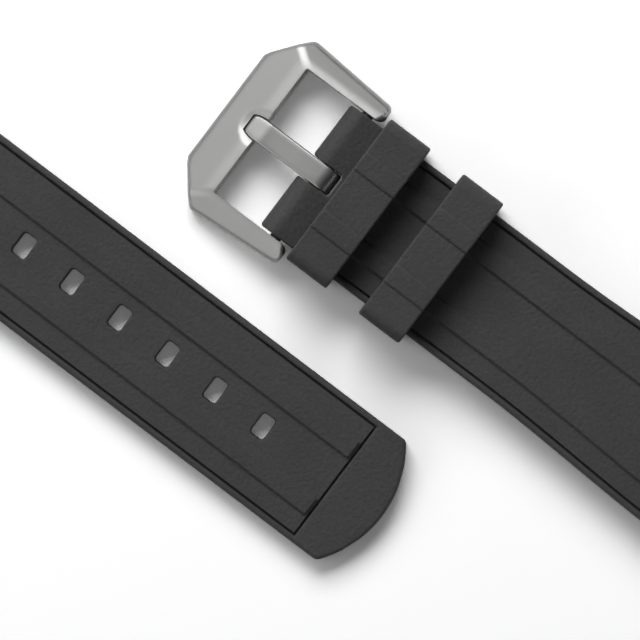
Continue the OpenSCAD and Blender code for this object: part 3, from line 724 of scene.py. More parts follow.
def notch_sheets(e, profile, row, part, sheet, strip_x, strip_y):
    """The notch for the tang: a strip of face round it, above, below and round the nose, and its wall.

    Along the ears the strip runs from the line at strip_y to the notch. At the back it runs from
    the row at strip_x. The corner of that rectangle belongs to the middle of the notch's corner
    arc, so rows take the arc's first half and columns its second half.
    """
    rim = e.notch_rim
    arc_x = e.notch_x - e.notch_r
    arc_y = e.notch_half - e.notch_r
    straight_y = strip_y / 2
    span = np.linspace(0, 1, 5)

    def wall_at(a):
        """The notch's corner arc at angle a, on the +y side: points and outward normals in plan."""
        normal = np.stack([-np.cos(a), -np.sin(a)], -1)
        return np.stack([arc_x + e.notch_r * np.cos(a), arc_y + e.notch_r * np.sin(a)], -1), normal

    def middle_z(x):
        """Height of the line along which the upper and the lower part of the wall meet."""
        return (profile.upper(x) + profile.lower(x)) / 2

    rows = np.flatnonzero(row["x"] <= strip_x + WELD)
    first = np.flatnonzero(part[rows] == BACK)[0]
    rows = np.concatenate([rows[first:-1], rows[:first]])
    x, z, part = row["x"][rows], row["z"][rows], part[rows]
    at_arc = (x > arc_x)[:, None]
    arc, arc_out = wall_at(math.pi / 2 - math.pi / 4 * np.maximum(x - arc_x, 0) / (strip_x - arc_x))
    straight = np.stack([x, e.notch_half + drop(x + e.nose_len, e.corner_r)], -1)
    wall = np.where(at_arc, arc, straight)
    out = np.where(at_arc, arc_out, [0.0, -1.0])
    start = wall - out * rim
    at_nose = (part == NOSE) | ((part == BACK) & (x <= profile.nose_x))
    middle = np.column_stack([
        np.where(at_nose, profile.nose_x, wall[:, 0]), np.where(at_nose, e.notch_half, wall[:, 1]),
        np.where(at_nose, PIVOT[2], middle_z(wall[:, 0]))])
    on_top = part == FACE
    down = np.stack([np.where(on_top, -profile.lean(start[:, 0]), -row["nx"][rows]), 0 * x,
        np.where(on_top, -1.0, -row["nz"][rows])], -1)
    down /= np.linalg.norm(down, axis=1, keepdims=True)
    px = x[:, None] + (start[:, 0] - x)[:, None] * span
    py = strip_y + (start[:, 1] - strip_y)[:, None] * span
    kind = part[:, None]
    pz = np.where(kind == FACE, profile.upper(px), np.where(kind == BACK, profile.lower(px), z[:, None]))
    points = np.stack([px, py, pz], -1)
    edge = outer_edge(points[:, -1], np.column_stack([out, 0 * x]), down, rim, middle)
    sheets = []
    for side in (1.0, -1.0):
        flip = np.array([1.0, side, 1.0])
        sheets += [grid(points * flip), grid(edge * flip)]

    y = sheet[0, np.abs(sheet[0, :, 1]) <= strip_y + WELD, 1]
    side = np.where(y < 0, -1.0, 1.0)
    at_arc = np.abs(y) > straight_y
    arc, arc_out = wall_at(math.pi / 4 * np.clip((np.abs(y) - straight_y) / (strip_y - straight_y), 0, 1))
    wall = np.stack([np.where(at_arc, arc[:, 0], e.notch_x),
        np.where(at_arc, side * arc[:, 1], arc_y * y / straight_y)], -1)
    out = np.stack([np.where(at_arc, arc_out[:, 0], -1.0), np.where(at_arc, side * arc_out[:, 1], 0.0)], -1)
    start = wall - out * rim
    middle = np.column_stack([wall, middle_z(wall[:, 0])])
    px = strip_x + (start[:, 0] - strip_x)[:, None] * span
    py = y[:, None] + (start[:, 1] - y)[:, None] * span
    above = (profile.upper, profile.lean(start[:, 0]), -1.0)
    below = (profile.lower, 0 * y, 1.0)
    for height, lean, sign in (above, below):
        points = np.stack([px, py, height(px)], -1)
        down = np.stack([-lean, 0 * y, np.full_like(y, sign)], -1)
        down /= np.linalg.norm(down, axis=1, keepdims=True)
        edge = outer_edge(points[:, -1], np.column_stack([out, 0 * y]), down, rim, middle)
        sheets += [grid(points), grid(edge)]
    return sheets


# The keepers


def make_keeper(s, k, name, body, node, material):
    """A keeper: a wall of rounded section carried round a rounded rectangle.

    The outer and the inner loop have the same count of points, corner for corner. Across the wall
    the section is a rounded rectangle between the two loops.
    """
    low, high = (np.array(v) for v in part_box(node))
    half = (high[1] - low[1]) / 2
    top = high[2] - low[2] - k.rib_h
    long = high[0] - low[0]
    foot = s.band_w / 2 - s.rib_inset
    rib_y = np.unique(np.concatenate([
        foot - k.rib_slope * np.linspace(0, 1, 9), s.mid_w / 2 + k.rib_slope * np.linspace(0, 1, 9)]))
    flat_y = np.sort(np.concatenate([rib_y, [0.0], -rib_y]))[::-1]
    rib = (crest((foot - np.abs(flat_y)) / k.rib_slope)
        * crest((np.abs(flat_y) - s.mid_w / 2) / k.rib_slope))
    arc = np.radians(np.linspace(0, 90, 11))

    def loop(h, t, r, raised):
        """A rectangle 2h wide, from height t[0] to t[1], with corners of radius r and raised bands."""
        z0, z1 = t[0] + r, t[1] - r
        side = np.linspace(0, 1, 5)[1:-1]
        parts = [
            np.stack([h - r + r * np.cos(arc), z1 + r * np.sin(arc)], -1),
            np.stack([flat_y, t[1] + raised * rib], -1),
            np.stack([r - h - r * np.sin(arc), z1 + r * np.cos(arc)], -1),
            np.stack([-h + 0 * side, z1 + (z0 - z1) * side], -1),
            np.stack([r - h - r * np.cos(arc), z0 - r * np.sin(arc)], -1),
            np.stack([flat_y[::-1], t[0] + 0 * flat_y], -1),
            np.stack([h - r + r * np.sin(arc), z0 - r * np.cos(arc)], -1),
            np.stack([h + 0 * side, z0 + (z1 - z0) * side], -1)]
        return np.concatenate(parts)

    outer = loop(half, (0.0, top), k.outer_r, k.rib_h)
    inner = loop(half - k.wall, (k.wall, top - k.wall), k.inner_r, 0.0)
    thick = np.linalg.norm(outer - inner, axis=1)
    bend = turn_back(k.edge_r, 6)
    reach = k.edge_r - np.sqrt(np.maximum(k.edge_r**2 - (k.edge_r - bend) ** 2, 0))
    run = np.linspace(k.edge_r, long - k.edge_r, 5)[1:-1]
    outer_x = np.concatenate([bend, run, long - bend[::-1]])
    outer_in = np.concatenate([reach, 0 * run, reach[::-1]])
    x = np.concatenate([outer_x, outer_x[::-1]])
    inward = np.broadcast_to(np.concatenate([outer_in, outer_in]), (len(outer), len(x)))
    share = inward / thick[:, None]
    inside = np.concatenate([np.zeros(outer_x.size, bool), np.ones(outer_x.size, bool)])
    share = np.where(inside, 1 - share, share)[..., None]
    section = outer[:, None] * (1 - share) + inner[:, None] * share
    points = np.concatenate([np.broadcast_to(x[None, :, None], (len(outer), len(x), 1)), section], -1)
    place = np.array([low[0], (low[1] + high[1]) / 2, low[2]])
    piece = make_piece(name, [grid(points + place, round_rows=True, round_cols=True)])
    finish_piece(piece, body, node, material)


# The buckle


def hung(b, points):
    """Turns points about the pivot until the frame's front edge hangs down to the floor."""
    tilt = (math.asin((PIVOT[2] - b.floor_gap) / math.hypot(b.frame_len, b.under_z))
        - math.atan2(b.under_z, b.frame_len))
    c, s = math.cos(tilt), math.sin(tilt)
    x, y, z = np.moveaxis(points, -1, 0)
    return np.stack([x * c - z * s, y, x * s + z * c], -1) + PIVOT


def tip_taper(b, x):
    """How much narrower the tang, and the recess round it, are on each side at x near the point."""
    return b.taper * np.clip((-b.tang_len + b.taper_len - x) / b.taper_len, 0.0, 1.0) ** 1.5


def from_recess(b, x, y, corner):
    """Distance outwards from the edge of the tang's recess, with its corners rounded by corner."""
    dx = -b.recess_x + corner - x
    dy = np.abs(y) - b.recess_half + tip_taper(b, x) + corner
    return (np.minimum(np.maximum(dx, dy), 0)
        + np.hypot(np.maximum(dx, 0), np.maximum(dy, 0)) - corner)


def frame_top(b, x, y):
    """Height of the frame's upper side above the pivot.

    The front facet and the arms' facets are planes that fall away from the window. They melt
    together along the mitre, and into a narrow level edge along the window. An arm ends round.
    Round the tang lies a dished border, and inside it the recess.
    """
    end_soft = 0.3 * MM
    recess_wall = 0.06 * MM
    window_x = b.front_w - b.frame_len
    front = b.top_z - math.tan(b.front_slope) * (window_x - b.lip - x)
    arm = b.top_z - math.tan(b.arm_slope) * (np.abs(y) - b.window_half - b.lip)
    z = soft_min(soft_min(front, arm, b.ridge), b.top_z, b.crown)
    round_end = np.sqrt(np.maximum(b.arm_end_r**2 - np.maximum(x, 0) ** 2, 0))
    z = soft_min(z, round_end, np.clip(0.3 * (b.arm_end_r - x), 0.001 * MM, end_soft))
    z = z - b.dish_d * (1 - smooth(from_recess(b, x, y, b.dish_r) / b.dish_w))
    inside = smooth(0.5 - from_recess(b, x, y, b.recess_r) / recess_wall)
    return np.where(x < window_x + 2 * MM, z + (b.recess_z - z) * inside, z)


def frame_under(b, x):
    """Height of the frame's underside: round at the pivot, then straight up to the front edge."""
    rise = math.atan2(b.arm_end_r - b.under_z, b.frame_len)
    straight = -b.arm_end_r / math.cos(rise) - math.tan(rise) * x
    return np.where(x > -b.arm_end_r * math.sin(rise),
        -np.sqrt(np.maximum(b.arm_end_r**2 - x * x, 0)), straight)


def make_frame(b, material):
    """The frame: a closed section carried round the three sides of the window.

    Stations run from an arm's round end, along the arm, round the window's corner and along the
    front bar. Each has a point on the window's edge and one on the outline, and the section
    between them takes its height from frame_top and frame_under, less the rounding of its edges.
    """
    window_x = b.front_w - b.frame_len
    end_y = b.window_half + b.arm_end_w
    full_y = b.window_half + b.arm_w
    outline = filleted([(b.arm_end_r, end_y), (b.cut_l - b.frame_len, full_y),
        (-b.frame_len, full_y - b.cut_w), (-b.frame_len, 0)], [b.cut_r, b.cut_r], 10)
    inner_x = window_x + b.window_r
    inner_y = b.window_half - b.window_r

    x = np.concatenate([
        b.arm_end_r * np.sin(np.linspace(math.pi / 2, 0, 14)), np.linspace(0, inner_x, 14)[1:]])
    line_x, line_y = outline[::-1].T
    cut = drop(b.arm_end_r - x, b.arm_corner_r)
    arm_in = np.stack([x, b.window_half + 0.9 * cut], -1)
    arm_out = np.stack([x, np.interp(x, line_x, line_y) - cut], -1)

    walked = np.concatenate([[0], np.cumsum(np.linalg.norm(np.diff(outline, axis=0), axis=1))])
    from_x = np.interp(-inner_x, -outline[:, 0], walked)
    to_y = np.interp(-inner_y, -outline[2:, 1], walked[2:])
    share = np.linspace(0, 1, 64)[1:-1]
    along = from_x + (to_y - from_x) * share
    a = math.pi / 2 * (1 + share)
    corner_in = np.stack([inner_x + b.window_r * np.cos(a), inner_y + b.window_r * np.sin(a)], -1)
    corner_out = np.stack([np.interp(along, walked, line) for line in outline.T], -1)

    half = b.recess_half
    y = np.unique(np.concatenate([
        np.linspace(half + b.dish_w, inner_y, 10), half + b.dish_w * np.linspace(0.12, 1, 8),
        half + 0.03 * MM * np.linspace(-1, 1, 7), [0, 0.5 * half, 0.8 * half, 0.93 * half]]))[::-1]
    front_in = np.stack([np.full(y.size, window_x), y], -1)
    front_out = np.stack([-np.interp(y, outline[::-1, 1][:-2], -outline[::-1, 0][:-2]), y], -1)

    inner = np.concatenate([arm_in, corner_in, front_in])
    outer = np.concatenate([arm_out, corner_out, front_out])
    flip = np.array([1.0, -1.0])
    inner = np.concatenate([inner, inner[-2::-1] * flip])
    outer = np.concatenate([outer, outer[-2::-1] * flip])

    wide = np.linalg.norm(outer - inner, axis=1)
    thick = b.top_z - frame_under(b, inner[:, 0])
    thick = np.minimum(thick, 2 * np.sqrt(np.maximum(b.arm_end_r**2 - np.maximum(inner[:, 0], 0) ** 2, 0)))
    limit = 0.4 * thick
    recess_end = (b.recess_x + window_x) / b.front_w
    fractions = np.unique(np.concatenate([
        np.linspace(0, recess_end - 0.03, 7), recess_end + 0.006 * np.linspace(-1, 1, 9),
        recess_end + b.dish_w / b.front_w * np.linspace(0.1, 1.2, 8),
        np.linspace(recess_end + 0.2, 1, 8)]))

    def lines(r_in, r_out):
        """Distances from the window's edge of the lines across the section."""
        near = r_in[:, None] * turn_back(1.0, 7)
        far = wide[:, None] - r_out[:, None] * turn_back(1.0, 8)[::-1]
        between = r_in[:, None] + (wide - r_in - r_out)[:, None] * fractions[1:-1]
        return np.concatenate([near, between, far], 1)

    def lay(r_in, r_out, height, sign):
        """Points across the section, with the height lowered towards its two rounded edges.

        Beside the tang's point they draw in with the recess: fully at its edge, and not at all at
        the middle and at 2.2 times its half width.
        """
        a = lines(r_in, r_out)
        plan = inner[:, None] + (outer - inner)[:, None] * (a / wide[:, None])[..., None]
        aside = np.abs(plan[..., 1]) / b.recess_half
        pull = np.minimum(aside, np.clip(2.2 - aside, 0.0, 1.0))
        plan[..., 1] -= np.sign(plan[..., 1]) * pull * tip_taper(b, plan[..., 0])
        z = height(plan[..., 0], plan[..., 1])
        z = z - sign * (drop(a, r_in[:, None]) + drop(wide[:, None] - a, r_out[:, None]))
        return np.concatenate([plan, z[..., None]], -1)

    upper = lay(np.minimum(b.inner_r, limit), np.minimum(b.outer_r, limit),
        lambda px, py: frame_top(b, px, py), 1.0)
    lower = lay(np.minimum(b.under_in_r, limit), np.minimum(b.under_r, limit),
        lambda px, py: frame_under(b, px), -1.0)
    t = np.linspace(0, 1, 4)[None, 1:-1, None]
    out_wall = upper[:, -1:] * (1 - t) + lower[:, -1:] * t
    in_wall = lower[:, :1] * (1 - t) + upper[:, :1] * t
    section = np.concatenate([upper, out_wall, lower[:, ::-1], in_wall], 1)
    piece = make_piece("pin_frame", [grid(hung(b, section), round_cols=True)])
    for side in (-1, 1):
        drill(piece, PIVOT + np.array([0, side * b.window_half, 0]), b.bar_hole_r, b.bar_hole_d)
    finish_piece(piece, "frame", "buckle_frame", material)


def make_tang(b, material):
    """The tang: a strip of rounded section, bent down at its point and curled round the pivot.

    Its middle line runs level, rises by a smooth step to the eye and follows a circle. The point
    is thinner, because its top slopes down and its underside stays level.
    """
    r = b.tang_edge_r
    mid_z = b.top_z - b.tang_t / 2
    curl = b.eye_r + b.tang_t / 2
    bend_x = b.tang_point - b.tang_len
    near_bend = 0.6 * MM
    bend_soft = 0.12 * MM
    eye_end = math.radians(-164)
    tip = np.concatenate([turn_back(r, 6), np.linspace(r, b.tang_corner_r, 6)[1:], [1.0 * MM]]) - b.tang_len
    x = np.unique(np.round(np.concatenate([
        tip, np.linspace(1.3 * MM - b.tang_len, bend_x - near_bend, 4),
        bend_x + near_bend * np.linspace(-1, 1, 11),
        np.linspace(bend_x + 0.8 * MM, 0, 36)]), 9))
    z = mid_z + (curl - mid_z) * smooth(1 - x / bend_x)
    slope = np.gradient(z, x)
    a = np.linspace(math.pi / 2, eye_end, 56)[1:]
    path = np.concatenate([np.stack([x, z], -1), curl * np.stack([np.cos(a), np.sin(a)], -1)])
    normal = np.concatenate([np.stack([-slope, 1 + 0 * slope], -1), np.stack([np.cos(a), np.sin(a)], -1)])
    normal /= np.linalg.norm(normal, axis=1, keepdims=True)
    fall = b.tang_drop / b.tang_point
    over = soft_min(fall * (path[:, 0] - bend_x), 0.0, bend_soft) * (np.arange(len(path)) < x.size)
    above = b.tang_t / 2 + over
    below = np.full(len(path), b.tang_t / 2)
    closing = np.zeros(len(path))
    closing[: x.size] = drop(x + b.tang_len, r)
    closing[x.size :] = drop(curl * (a - eye_end), r)
    above, below = above - closing, below - closing
    half = np.full(len(path), b.tang_w / 2)
    half[: x.size] -= drop(x + b.tang_len, b.tang_corner_r) + tip_taper(b, x)
    half[x.size :] -= closing[x.size :]

    upper = path + normal * above[:, None]
    lower = path - normal * below[:, None]
    thick = (above + below)[:, None]
    round_r = np.minimum(r, 0.45 * thick)
    bend = np.linspace(0, math.pi / 2, 6)[None, :]
    flat = np.linspace(-1, 1, 7)[None, 1:-1]
    side_y = half[:, None] - round_r * (1 - np.sin(bend))
    side_h = 1 - round_r * (1 - np.cos(bend)) / thick
    inner_half = half[:, None] - round_r
    y = np.concatenate([side_y, side_y[:, ::-1], -flat * inner_half, -side_y, -side_y[:, ::-1],
        flat * inner_half], 1)
    h = np.concatenate([side_h, 1 - side_h[:, ::-1], 0 * flat * inner_half, 1 - side_h, side_h[:, ::-1],
        1 + 0 * flat * inner_half], 1)
    across = lower[:, None] * (1 - h[..., None]) + upper[:, None] * h[..., None]
    section = np.stack([across[..., 0], y, across[..., 1]], -1)
    count = section.shape[1]
    last = section.shape[0] * count
    piece = make_piece("tang_strip", [grid(hung(b, section), round_cols=True)],
        [range(count), range(last - 1, last - count - 1, -1)])
    finish_piece(piece, "tang", "buckle_tang", material)


# Materials


def add(tree, kind, links=None, **settings):
    """Adds a node, sets its settings, and links or sets the inputs that links names."""
    made = tree.nodes.new(kind)
    for key, value in settings.items():
        setattr(made, key, value)
    for key, value in (links or {}).items():
        if isinstance(value, bpy.types.NodeSocket):
            tree.links.new(value, made.inputs[key])
        else:
            made.inputs[key].default_value = value
    return made


def new_material(name):
    """An empty material and its node tree."""
    material = bpy.data.materials.new(name)
    material.use_nodes = True
    material.node_tree.nodes.clear()
    return material, material.node_tree


def moulded_rubber(looks):
    """Vulcanised rubber, moulded and left matt.

    It gives the eye a soft wide sheen on every rounded edge, an eroded grain of about 0.5 mm and
    a faint cloudiness where the mould's release lay thicker. The grain is drawn coarser than the
    real one, so that it shows.
    """
    material, tree = new_material("Moulded rubber")
    place = add(tree, "ShaderNodeTexCoord").outputs["Object"]
    grain = add(tree, "ShaderNodeTexNoise", {"Vector": place, "Scale": 1 / (0.55 * MM), "Detail": 4.0,
        "Roughness": 0.6})
    cloud = add(tree, "ShaderNodeTexNoise", {"Vector": place, "Scale": 1 / (6 * MM), "Detail": 3.0})
    tint = add(tree, "ShaderNodeMapRange", {"Value": cloud.outputs["Fac"], "From Min": 0.3, "From Max": 0.7,
        "To Min": 0.93, "To Max": 1.07})
    speck = add(tree, "ShaderNodeMapRange", {"Value": grain.outputs["Fac"], "From Min": 0.3,
        "From Max": 0.7, "To Min": 0.92, "To Max": 1.08})
    both = add(tree, "ShaderNodeMath", {0: tint.outputs["Result"], 1: speck.outputs["Result"]},
        operation="MULTIPLY")
    base = add(tree, "ShaderNodeMix", {"Factor": 1.0, "A": (*looks.rubber, 1.0),
        "B": both.outputs["Value"]}, data_type="RGBA", blend_type="MULTIPLY")
    rough = add(tree, "ShaderNodeMapRange", {"Value": cloud.outputs["Fac"], "From Min": 0.3,
        "From Max": 0.7, "To Min": 0.56, "To Max": 0.64})
    bump = add(tree, "ShaderNodeBump", {"Height": grain.outputs["Fac"], "Strength": 0.8,
        "Distance": 0.18 * MM})
    surface = add(tree, "ShaderNodeBsdfPrincipled", {"Base Color": base.outputs["Result"],
        "Roughness": rough.outputs["Result"], "Normal": bump.outputs["Normal"], "IOR": 1.45,
        "Specular IOR Level": 0.22})
    add(tree, "ShaderNodeOutputMaterial", {"Surface": surface.outputs["BSDF"]})
    return material


def satin_steel(looks):
    """Stainless steel, bead blasted and lightly brushed to a satin.

    It gives the eye broad soft highlights with a fine sparkle of about 0.1 mm.
    """
    material, tree = new_material("Satin stainless steel")
    place = add(tree, "ShaderNodeTexCoord").outputs["Object"]
    grain = add(tree, "ShaderNodeTexNoise", {"Vector": place, "Scale": 1 / (0.12 * MM), "Detail": 2.0})
    cloud = add(tree, "ShaderNodeTexNoise", {"Vector": place, "Scale": 1 / (3 * MM), "Detail": 2.0})
    rough = add(tree, "ShaderNodeMapRange", {"Value": cloud.outputs["Fac"], "From Min": 0.3,
        "From Max": 0.7, "To Min": 0.4, "To Max": 0.46})
    bump = add(tree, "ShaderNodeBump", {"Height": grain.outputs["Fac"], "Strength": 0.12,
        "Distance": 0.01 * MM})
    surface = add(tree, "ShaderNodeBsdfPrincipled", {"Base Color": (*looks.steel, 1.0), "Metallic": 1.0,
        "Roughness": rough.outputs["Result"], "Normal": bump.outputs["Normal"]})
    add(tree, "ShaderNodeOutputMaterial", {"Surface": surface.outputs["BSDF"]})
    return material


def drawn_steel(looks):
    """Stainless steel tube and wire, drawn through a die.

    It gives the eye sharper highlights than the buckle's, with faint rings from turning its ends.
    """
    material, tree = new_material("Drawn stainless steel")
    place = add(tree, "ShaderNodeTexCoord").outputs["Object"]
    rings = add(tree, "ShaderNodeTexWave", {"Vector": place, "Scale": 1 / (1.2 * MM), "Distortion": 1.0,
        "Detail": 2.0}, bands_direction="Y")
    rough = add(tree, "ShaderNodeMapRange", {"Value": rings.outputs["Fac"], "To Min": 0.24, "To Max": 0.32})
    bump = add(tree, "ShaderNodeBump", {"Height": rings.outputs["Fac"], "Strength": 0.1,
        "Distance": 0.01 * MM})
    surface = add(tree, "ShaderNodeBsdfPrincipled", {"Base Color": (*looks.bar_steel, 1.0), "Metallic": 1.0,
        "Roughness": rough.outputs["Result"], "Normal": bump.outputs["Normal"]})
    add(tree, "ShaderNodeOutputMaterial", {"Surface": surface.outputs["BSDF"]})
    return material


def white_table(looks):
    """Matt white laminate, which keeps the strap's soft shadow.

    The camera, and metal that mirrors it, see it brighter than the strap does, by a gain and a
    veil of light, so that it turns out white as in an overexposed product photo. Far away the
    veil passes to plain white.
    """
    material, tree = new_material("White table")
    path = add(tree, "ShaderNodeLightPath")
    seen = add(tree, "ShaderNodeMath", {0: path.outputs["Is Camera Ray"], 1: path.outputs["Is Glossy Ray"]},
        operation="MAXIMUM").outputs["Value"]
    bright = tuple(looks.glow * c for c in looks.floor)
    tone = add(tree, "ShaderNodeMix", {"Factor": seen, "A": (*looks.floor, 1.0), "B": (*bright, 1.0)},
        data_type="RGBA")
    matt = add(tree, "ShaderNodeBsdfDiffuse", {"Color": tone.outputs["Result"]})
    place = add(tree, "ShaderNodeTexCoord").outputs["Object"]
    far = add(tree, "ShaderNodeVectorMath", {0: place}, operation="LENGTH").outputs["Value"]
    fade = add(tree, "ShaderNodeMapRange", {"Value": far, "From Min": 0.15, "From Max": 0.6,
        "To Min": looks.veil, "To Max": 1.0}, interpolation_type="SMOOTHSTEP")
    haze = add(tree, "ShaderNodeMath", {0: seen, 1: fade.outputs["Result"]}, operation="MULTIPLY")
    veil = add(tree, "ShaderNodeEmission", {"Strength": haze.outputs["Value"]})
    both = add(tree, "ShaderNodeAddShader", {0: matt.outputs["BSDF"], 1: veil.outputs["Emission"]})
    add(tree, "ShaderNodeOutputMaterial", {"Surface": both.outputs["Shader"]})
    return material


# Stage

VIEW_W = 85.33 * MM
VIEW_X, VIEW_Y, VIEW_Z = 16.98 * MM, -0.81 * MM, 3.0 * MM
VIEW_TURN = math.radians(37.1)
VIEW_FAR = 800 * MM
TABLE_SINK = 0.02 * MM  # keeps the table's face apart from the strap's underside
# Mirrored walls: turn and lean of the middle, and the cosine from it at which the light begins
WALLS = ((129, 64, 0.58), (-127, 76, 0.75), (-6, 36, 0.89))


def heading(turn, lean):
    """Direction at turn degrees to the left of the picture's top and lean degrees from straight above."""
    turn, lean = VIEW_TURN + math.radians(turn), math.radians(lean)
    return (-math.sin(turn) * math.sin(lean), math.cos(turn) * math.sin(lean), math.cos(lean))


def softbox(scene, name, turn, lean, wide, high, radiance):
    """A rectangular lamp that faces the strap from 0.9 m away.

    It stands at the angle turn to the left of the picture's top and leans back from straight
    above by the angle lean, in degrees.
    """
    far = 0.9
    lamp = bpy.data.lights.new(name, "AREA")
    lamp.shape = "RECTANGLE"
    lamp.size = wide
    lamp.size_y = high
    lamp.energy = radiance * wide * high * math.pi
    box = bpy.data.objects.new(name, lamp)
    x, y, z = (far * c for c in heading(turn, lean))
    box.location = (VIEW_X + x, VIEW_Y + y, z)
    box.rotation_euler = (-math.radians(lean), 0.0, VIEW_TURN + math.radians(turn))
    scene.collection.objects.link(box)


def make_table(scene, looks):
    """The table, far larger than the picture."""
    reach = 8.0
    corners = np.array([[-1, -1], [1, -1], [1, 1], [-1, 1]]) * reach
    mesh = bpy.data.meshes.new("table")
    mesh.from_pydata(np.column_stack([corners, np.full(4, -TABLE_SINK)]), [], [[0, 1, 2, 3]])
    table = bpy.data.objects.new("table", mesh)
    scene.collection.objects.link(table)
    mesh.materials.append(white_table(looks))


def make_room(scene, looks):
    """The world: a dim ceiling, and white walls that only mirroring surfaces see.

    The ceiling brightens with the height of the direction, and mirroring surfaces see it 1.6
    times as bright. A wall brightens with the cosine to its middle. Of the ceiling and the
    walls the brightest shows. The camera sees plain white.
    """
    world = bpy.data.worlds.new("Studio")
    scene.world = world
    world.use_nodes = True
    tree = world.node_tree
    tree.nodes.clear()
    way = add(tree, "ShaderNodeTexCoord").outputs["Generated"]
    height = add(tree, "ShaderNodeSeparateXYZ", {"Vector": way}).outputs["Z"]
    rays = add(tree, "ShaderNodeLightPath")
    glossy = rays.outputs["Is Glossy Ray"]
    gain = add(tree, "ShaderNodeMath", {0: glossy, 1: 0.6, 2: 1.0}, operation="MULTIPLY_ADD")
    lid = add(tree, "ShaderNodeMapRange", {"Value": height, "From Min": 0.8, "From Max": 0.97,
        "To Min": 0.08 * looks.sky, "To Max": looks.sky}, interpolation_type="SMOOTHSTEP")
    ceiling = add(tree, "ShaderNodeMath", {0: lid.outputs["Result"], 1: gain.outputs["Value"]},
        operation="MULTIPLY")
    strength = add(tree, "ShaderNodeMath", {0: ceiling.outputs["Value"], 1: rays.outputs["Is Camera Ray"]},
        operation="MAXIMUM")
    for turn, lean, start in WALLS:
        towards = add(tree, "ShaderNodeVectorMath", {0: way, 1: heading(turn, lean)},
            operation="DOT_PRODUCT")
        wall = add(tree, "ShaderNodeMapRange", {"Value": towards.outputs["Value"], "From Min": start,
            "From Max": start + 0.2, "To Max": looks.wall}, interpolation_type="SMOOTHSTEP")
        mirrored = add(tree, "ShaderNodeMath", {0: wall.outputs["Result"], 1: glossy}, operation="MULTIPLY")
        strength = add(tree, "ShaderNodeMath", {0: strength.outputs["Value"], 1: mirrored.outputs["Value"]},
            operation="MAXIMUM")
    room = add(tree, "ShaderNodeBackground", {"Color": (1.0, 1.0, 1.0, 1.0),
        "Strength": strength.outputs["Value"]})
    add(tree, "ShaderNodeOutputWorld", {"Surface": room.outputs["Background"]})


def make_camera(scene):
    """The camera straight above, turned so that the strap lies slanted as in the photo."""
    lens = bpy.data.cameras.new("camera")
    lens.sensor_width = 36.0
    lens.lens = lens.sensor_width * VIEW_FAR / VIEW_W
    lens.clip_start = 0.01
    lens.clip_end = 10.0
    camera = bpy.data.objects.new("camera", lens)
    camera.location = (VIEW_X, VIEW_Y, VIEW_Z + VIEW_FAR)
    camera.rotation_euler = (0.0, 0.0, VIEW_TURN)
    scene.collection.objects.link(camera)
    scene.camera = camera
    scene.view_settings.view_transform = "Standard"


def make_stage(scene, looks):
    """A pale table, three softboxes under a dim ceiling, and the camera."""
    make_table(scene, looks)
    make_room(scene, looks)
    softbox(scene, "key_softbox", 13, 50, 0.73, 0.5, looks.key_power)
    softbox(scene, "left_softbox", 84, 60, 0.8, 0.45, looks.left_power)
    softbox(scene, "right_softbox", -108, 57, 0.8, 0.35, looks.right_power)
    make_camera(scene)


# Operators


def named(material, make, looks):
    """The material of that name, made once."""
    return bpy.data.materials.get(material) or make(looks)


class STRAP_OT_tail(Operator):
    """Make the tail half with its pin holes"""

    bl_idname = "strap.tail"
    bl_label = "Tail Half"

    def execute(self, context):
        scene = context.scene
        rubber = named("Moulded rubber", moulded_rubber, scene.strap_looks)
        make_tail(scene.strap_band, scene.strap_ears, rubber)
        return {"FINISHED"}


class STRAP_OT_buckle_half(Operator):
    """Make the buckle half with its ears"""

    bl_idname = "strap.buckle_half"
    bl_label = "Buckle Half"

    def execute(self, context):
        scene = context.scene
        rubber = named("Moulded rubber", moulded_rubber, scene.strap_looks)
        make_buckle_band(scene.strap_band, scene.strap_ears, rubber)
        return {"FINISHED"}


class STRAP_OT_keepers(Operator):
    """Make the fixed and the sliding keeper"""

    bl_idname = "strap.keepers"
    bl_label = "Keepers"

    def execute(self, context):
        scene = context.scene
        rubber = named("Moulded rubber", moulded_rubber, scene.strap_looks)
        for name, body, node in (
            ("fixed_loop", "buckle_half", "fixed_keeper"),
            ("sliding_loop", "sliding_keeper", "sliding_keeper"),
        ):
            make_keeper(scene.strap_band, scene.strap_keepers, name, body, node, rubber)
        return {"FINISHED"}


class STRAP_OT_buckle(Operator):
    """Make the steel frame and the tang"""

    bl_idname = "strap.buckle"
    bl_label = "Buckle"

    def execute(self, context):
        scene = context.scene
        steel = named("Satin stainless steel", satin_steel, scene.strap_looks)
        make_frame(scene.strap_buckle, steel)
        make_tang(scene.strap_buckle, steel)
        return {"FINISHED"}


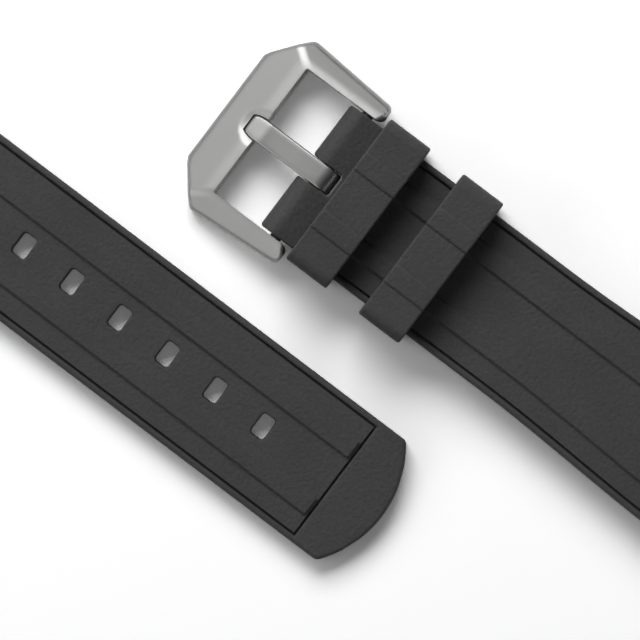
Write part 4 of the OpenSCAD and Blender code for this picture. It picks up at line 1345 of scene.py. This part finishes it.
class STRAP_OT_bars(Operator):
    """Give the sprung bars their steel"""

    bl_idname = "strap.bars"
    bl_label = "Sprung Bars"

    def execute(self, context):
        steel = named("Drawn stainless steel", drawn_steel, context.scene.strap_looks)
        for name, node in frame["nodes"].items():
            if "_bar_" in name:
                node.data.materials.clear()
                node.data.materials.append(steel)
        return {"FINISHED"}


class STRAP_OT_stage(Operator):
    """Make the table, the lights and the camera"""

    bl_idname = "strap.stage"
    bl_label = "Stage"

    def execute(self, context):
        make_stage(context.scene, context.scene.strap_looks)
        return {"FINISHED"}


# Panel and registration


class STRAP_PT_panel(Panel):
    """Lists the pieces of the strap"""

    bl_idname = "STRAP_PT_panel"
    bl_label = "Watch Strap"
    bl_space_type = "VIEW_3D"
    bl_region_type = "UI"
    bl_category = "Watch Strap"

    def draw(self, context):
        for operator in OPERATORS:
            self.layout.operator(operator.bl_idname)
        for group in GROUPS:
            box = self.layout.box()
            box.label(text=group.__doc__)
            values = getattr(context.scene, GROUPS[group])
            for key in group.__annotations__:
                box.prop(values, key)


OPERATORS = (
    STRAP_OT_stage,
    STRAP_OT_tail,
    STRAP_OT_buckle_half,
    STRAP_OT_keepers,
    STRAP_OT_buckle,
    STRAP_OT_bars,
)
GROUPS = {
    BandSizes: "strap_band",
    EarSizes: "strap_ears",
    KeeperSizes: "strap_keepers",
    BuckleSizes: "strap_buckle",
    StrapLooks: "strap_looks",
}


def register():
    """Registers the classes and hangs the property groups on the scene."""
    for cls in (*GROUPS, *OPERATORS, STRAP_PT_panel):
        bpy.utils.register_class(cls)
    for group, name in GROUPS.items():
        setattr(bpy.types.Scene, name, PointerProperty(type=group))


def unregister():
    """Takes the property groups and the classes away again."""
    for name in GROUPS.values():
        delattr(bpy.types.Scene, name)
    for cls in reversed((*GROUPS, *OPERATORS, STRAP_PT_panel)):
        bpy.utils.unregister_class(cls)


def main():
    register()
    for operator in OPERATORS:
        group, name = operator.bl_idname.split(".")
        getattr(getattr(bpy.ops, group), name)()


if __name__ == "__main__":
    main()
